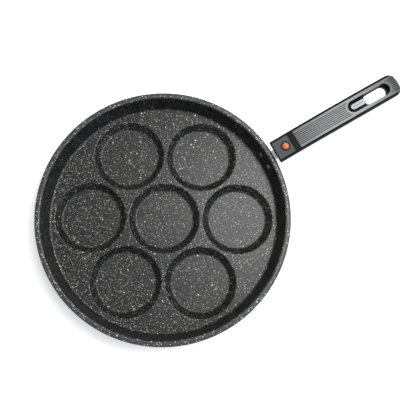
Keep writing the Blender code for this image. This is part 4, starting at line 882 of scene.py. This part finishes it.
def button_mesh():
    """Domed cap, skirt and flange in one turned shape, joined to the yoke with its two legs."""
    flange_top = PLATE_BOTTOM - GAP
    flange_low = flange_top - BUTTON_LIP_SHEET
    skirt_top = PLATE_TOP - BUTTON_SKIRT_DROP
    skirt = BUTTON_RADIUS + BUTTON_SKIRT
    stem_end = YOKE_LOW + (YOKE_HIGH - YOKE_LOW) / 3.0
    crown = dome(BUTTON_RADIUS - BUTTON_EDGE, BUTTON_DOME, PLATE_TOP + BUTTON_PROUD)
    line = [(point.x, point.y, 0.0) for point in crown]
    line += [
        (BUTTON_RADIUS, PLATE_TOP + BUTTON_PROUD - BUTTON_EDGE / 2.0, BUTTON_EDGE / 3.0),
        (BUTTON_RADIUS, skirt_top, BUTTON_CREASE),
        (skirt, skirt_top, SKIRT_ROUNDING),
        (skirt, flange_top, 0.0),
        (skirt + BUTTON_LIP, flange_top, 0.0),
        (skirt + BUTTON_LIP, flange_low, 0.0),
        (BUTTON_RADIUS, flange_low, 0.0),
        (BUTTON_RADIUS, stem_end, 0.0),
        (0.0, stem_end, 0.0),
    ]
    body = turned_mesh("button", rounded(line), BUTTON_STEPS)
    outline = [
        (-LEG_OUTSIDE, LEG_END),
        (-LEG_INSIDE, LEG_END),
        (-LEG_INSIDE, YOKE_LOW),
        (LEG_INSIDE, YOKE_LOW),
        (LEG_INSIDE, LEG_END),
        (LEG_OUTSIDE, LEG_END),
        (LEG_OUTSIDE, YOKE_HIGH),
        (-LEG_OUTSIDE, YOKE_HIGH),
    ]
    yoke = prism_mesh("yoke", outline, -BUTTON_LEG_HALF, BUTTON_LEG_HALF)
    return combined("button", body, [("UNION", [helper("yoke", yoke, Matrix.Identity(4))])])


def refined_mesh(node, edge):
    """A node's own solid with its crisp edges softened and its round faces smoothed."""
    mesh = nodes[node].data.copy()
    work = bmesh.new()
    work.from_mesh(mesh)
    bmesh.ops.remove_doubles(work, verts=work.verts, dist=MERGE)
    bmesh.ops.dissolve_limit(work, angle_limit=FLAT_ANGLE, verts=work.verts, edges=work.edges)
    work.to_mesh(mesh)
    work.free()
    if edge:
        source = bpy.data.objects.new(node + "_source", mesh)
        scene.collection.objects.link(source)
        bevel = source.modifiers.new("edge", "BEVEL")
        bevel.width = edge
        bevel.segments = BEVEL_SEGMENTS
        bevel.limit_method = "ANGLE"
        bevel.angle_limit = BEVEL_ANGLE
        bevel.use_clamp_overlap = True
        evaluated = source.evaluated_get(bpy.context.evaluated_depsgraph_get())
        mesh = bpy.data.meshes.new_from_object(evaluated)
        bpy.data.objects.remove(source, do_unlink=True)
    finish_shading(mesh)
    return mesh


def make_pieces():
    """Every piece with its material, in place of the part that it stands for.

    The edge of a refined piece is the width of its bevel in millimetres.
    """
    coat = pan_coating()
    rivet_coat = coating("rivet_coating", 0.8, 0.1)[0]
    bright = steel("bright_steel")
    satin = steel("satin_steel", 0.88, 0.24)
    black = moulding(
        "black_moulding", (0.004, 0.004, 0.005), (0.011, 0.011, 0.0125), 0.42, 0.56, gloss=0.09
    )[0]
    panel = panel_moulding()
    plate = plate_moulding()
    spine = moulding(
        "light_spine", (0.44, 0.45, 0.475), (0.56, 0.57, 0.6), 0.4, 0.52, 1700.0, 0.02, 0.3
    )[0]
    orange = button_moulding()

    add_piece("pan", pan_mesh(), coat, "pan", "pan_body")
    for side, sign in (("left", 0.5), ("right", -0.5)):
        node = f"bracket_rivet_{side}"
        place = BRACKET_FRAME @ Matrix.Translation((0.0, sign * RIVET_SPACING, 0.0))
        rivet = rivet_mesh(node)
        add_piece(f"rivet_{side}", rivet, rivet_coat, "pan", node, place)
    button_place = HANDLE_FRAME @ Matrix.Translation((BUTTON_AT, 0.0, 0.0))
    add_piece(
        "button", button_mesh(), orange, "button", "release_button", button_place
    )
    for name, node, edge, material, slot in (
        ("handle_shell", "handle_base", 0.22, black, "black_moulding"),
        ("ribbed_panel", "grip_panel", 0.16, panel, "satin_grey"),
        ("front_plate", "head_plate", 0.22, plate, "dark_grey"),
        ("slot_spine", "hang_slot_spine", 0.2, spine, "satin_grey"),
        ("wall_bracket", "handle_bracket", 0.18, satin, "bright_steel"),
        ("sleeve", "socket_sleeve", 0.0, bright, "bright_steel"),
        ("leaf", "latch_leaf", 0.0, bright, "bright_steel"),
        ("leaf_rivet_head", "leaf_rivet", 0.0, bright, "bright_steel"),
        ("cross_pin", "sleeve_pin", 0.0, bright, "bright_steel"),
        ("screw_front", "housing_screw_front", 0.0, bright, "bright_steel"),
        ("screw_rear", "housing_screw_rear", 0.0, bright, "bright_steel"),
    ):
        body = "pan" if node == "handle_bracket" else "handle"
        bends = None
        if node == "latch_leaf":
            bends = [HANDLE_FRAME @ Vector((x, 0.0, 0.0)) for x in (LEAF_ROOT, LEAF_WING_REAR)]
        add_piece(name, refined_mesh(node, edge * MM), material, body, node, bends=bends)


add_camera()
add_world()
for lamp in LAMPS:
    add_area(*lamp)
add_floor()
make_pieces()
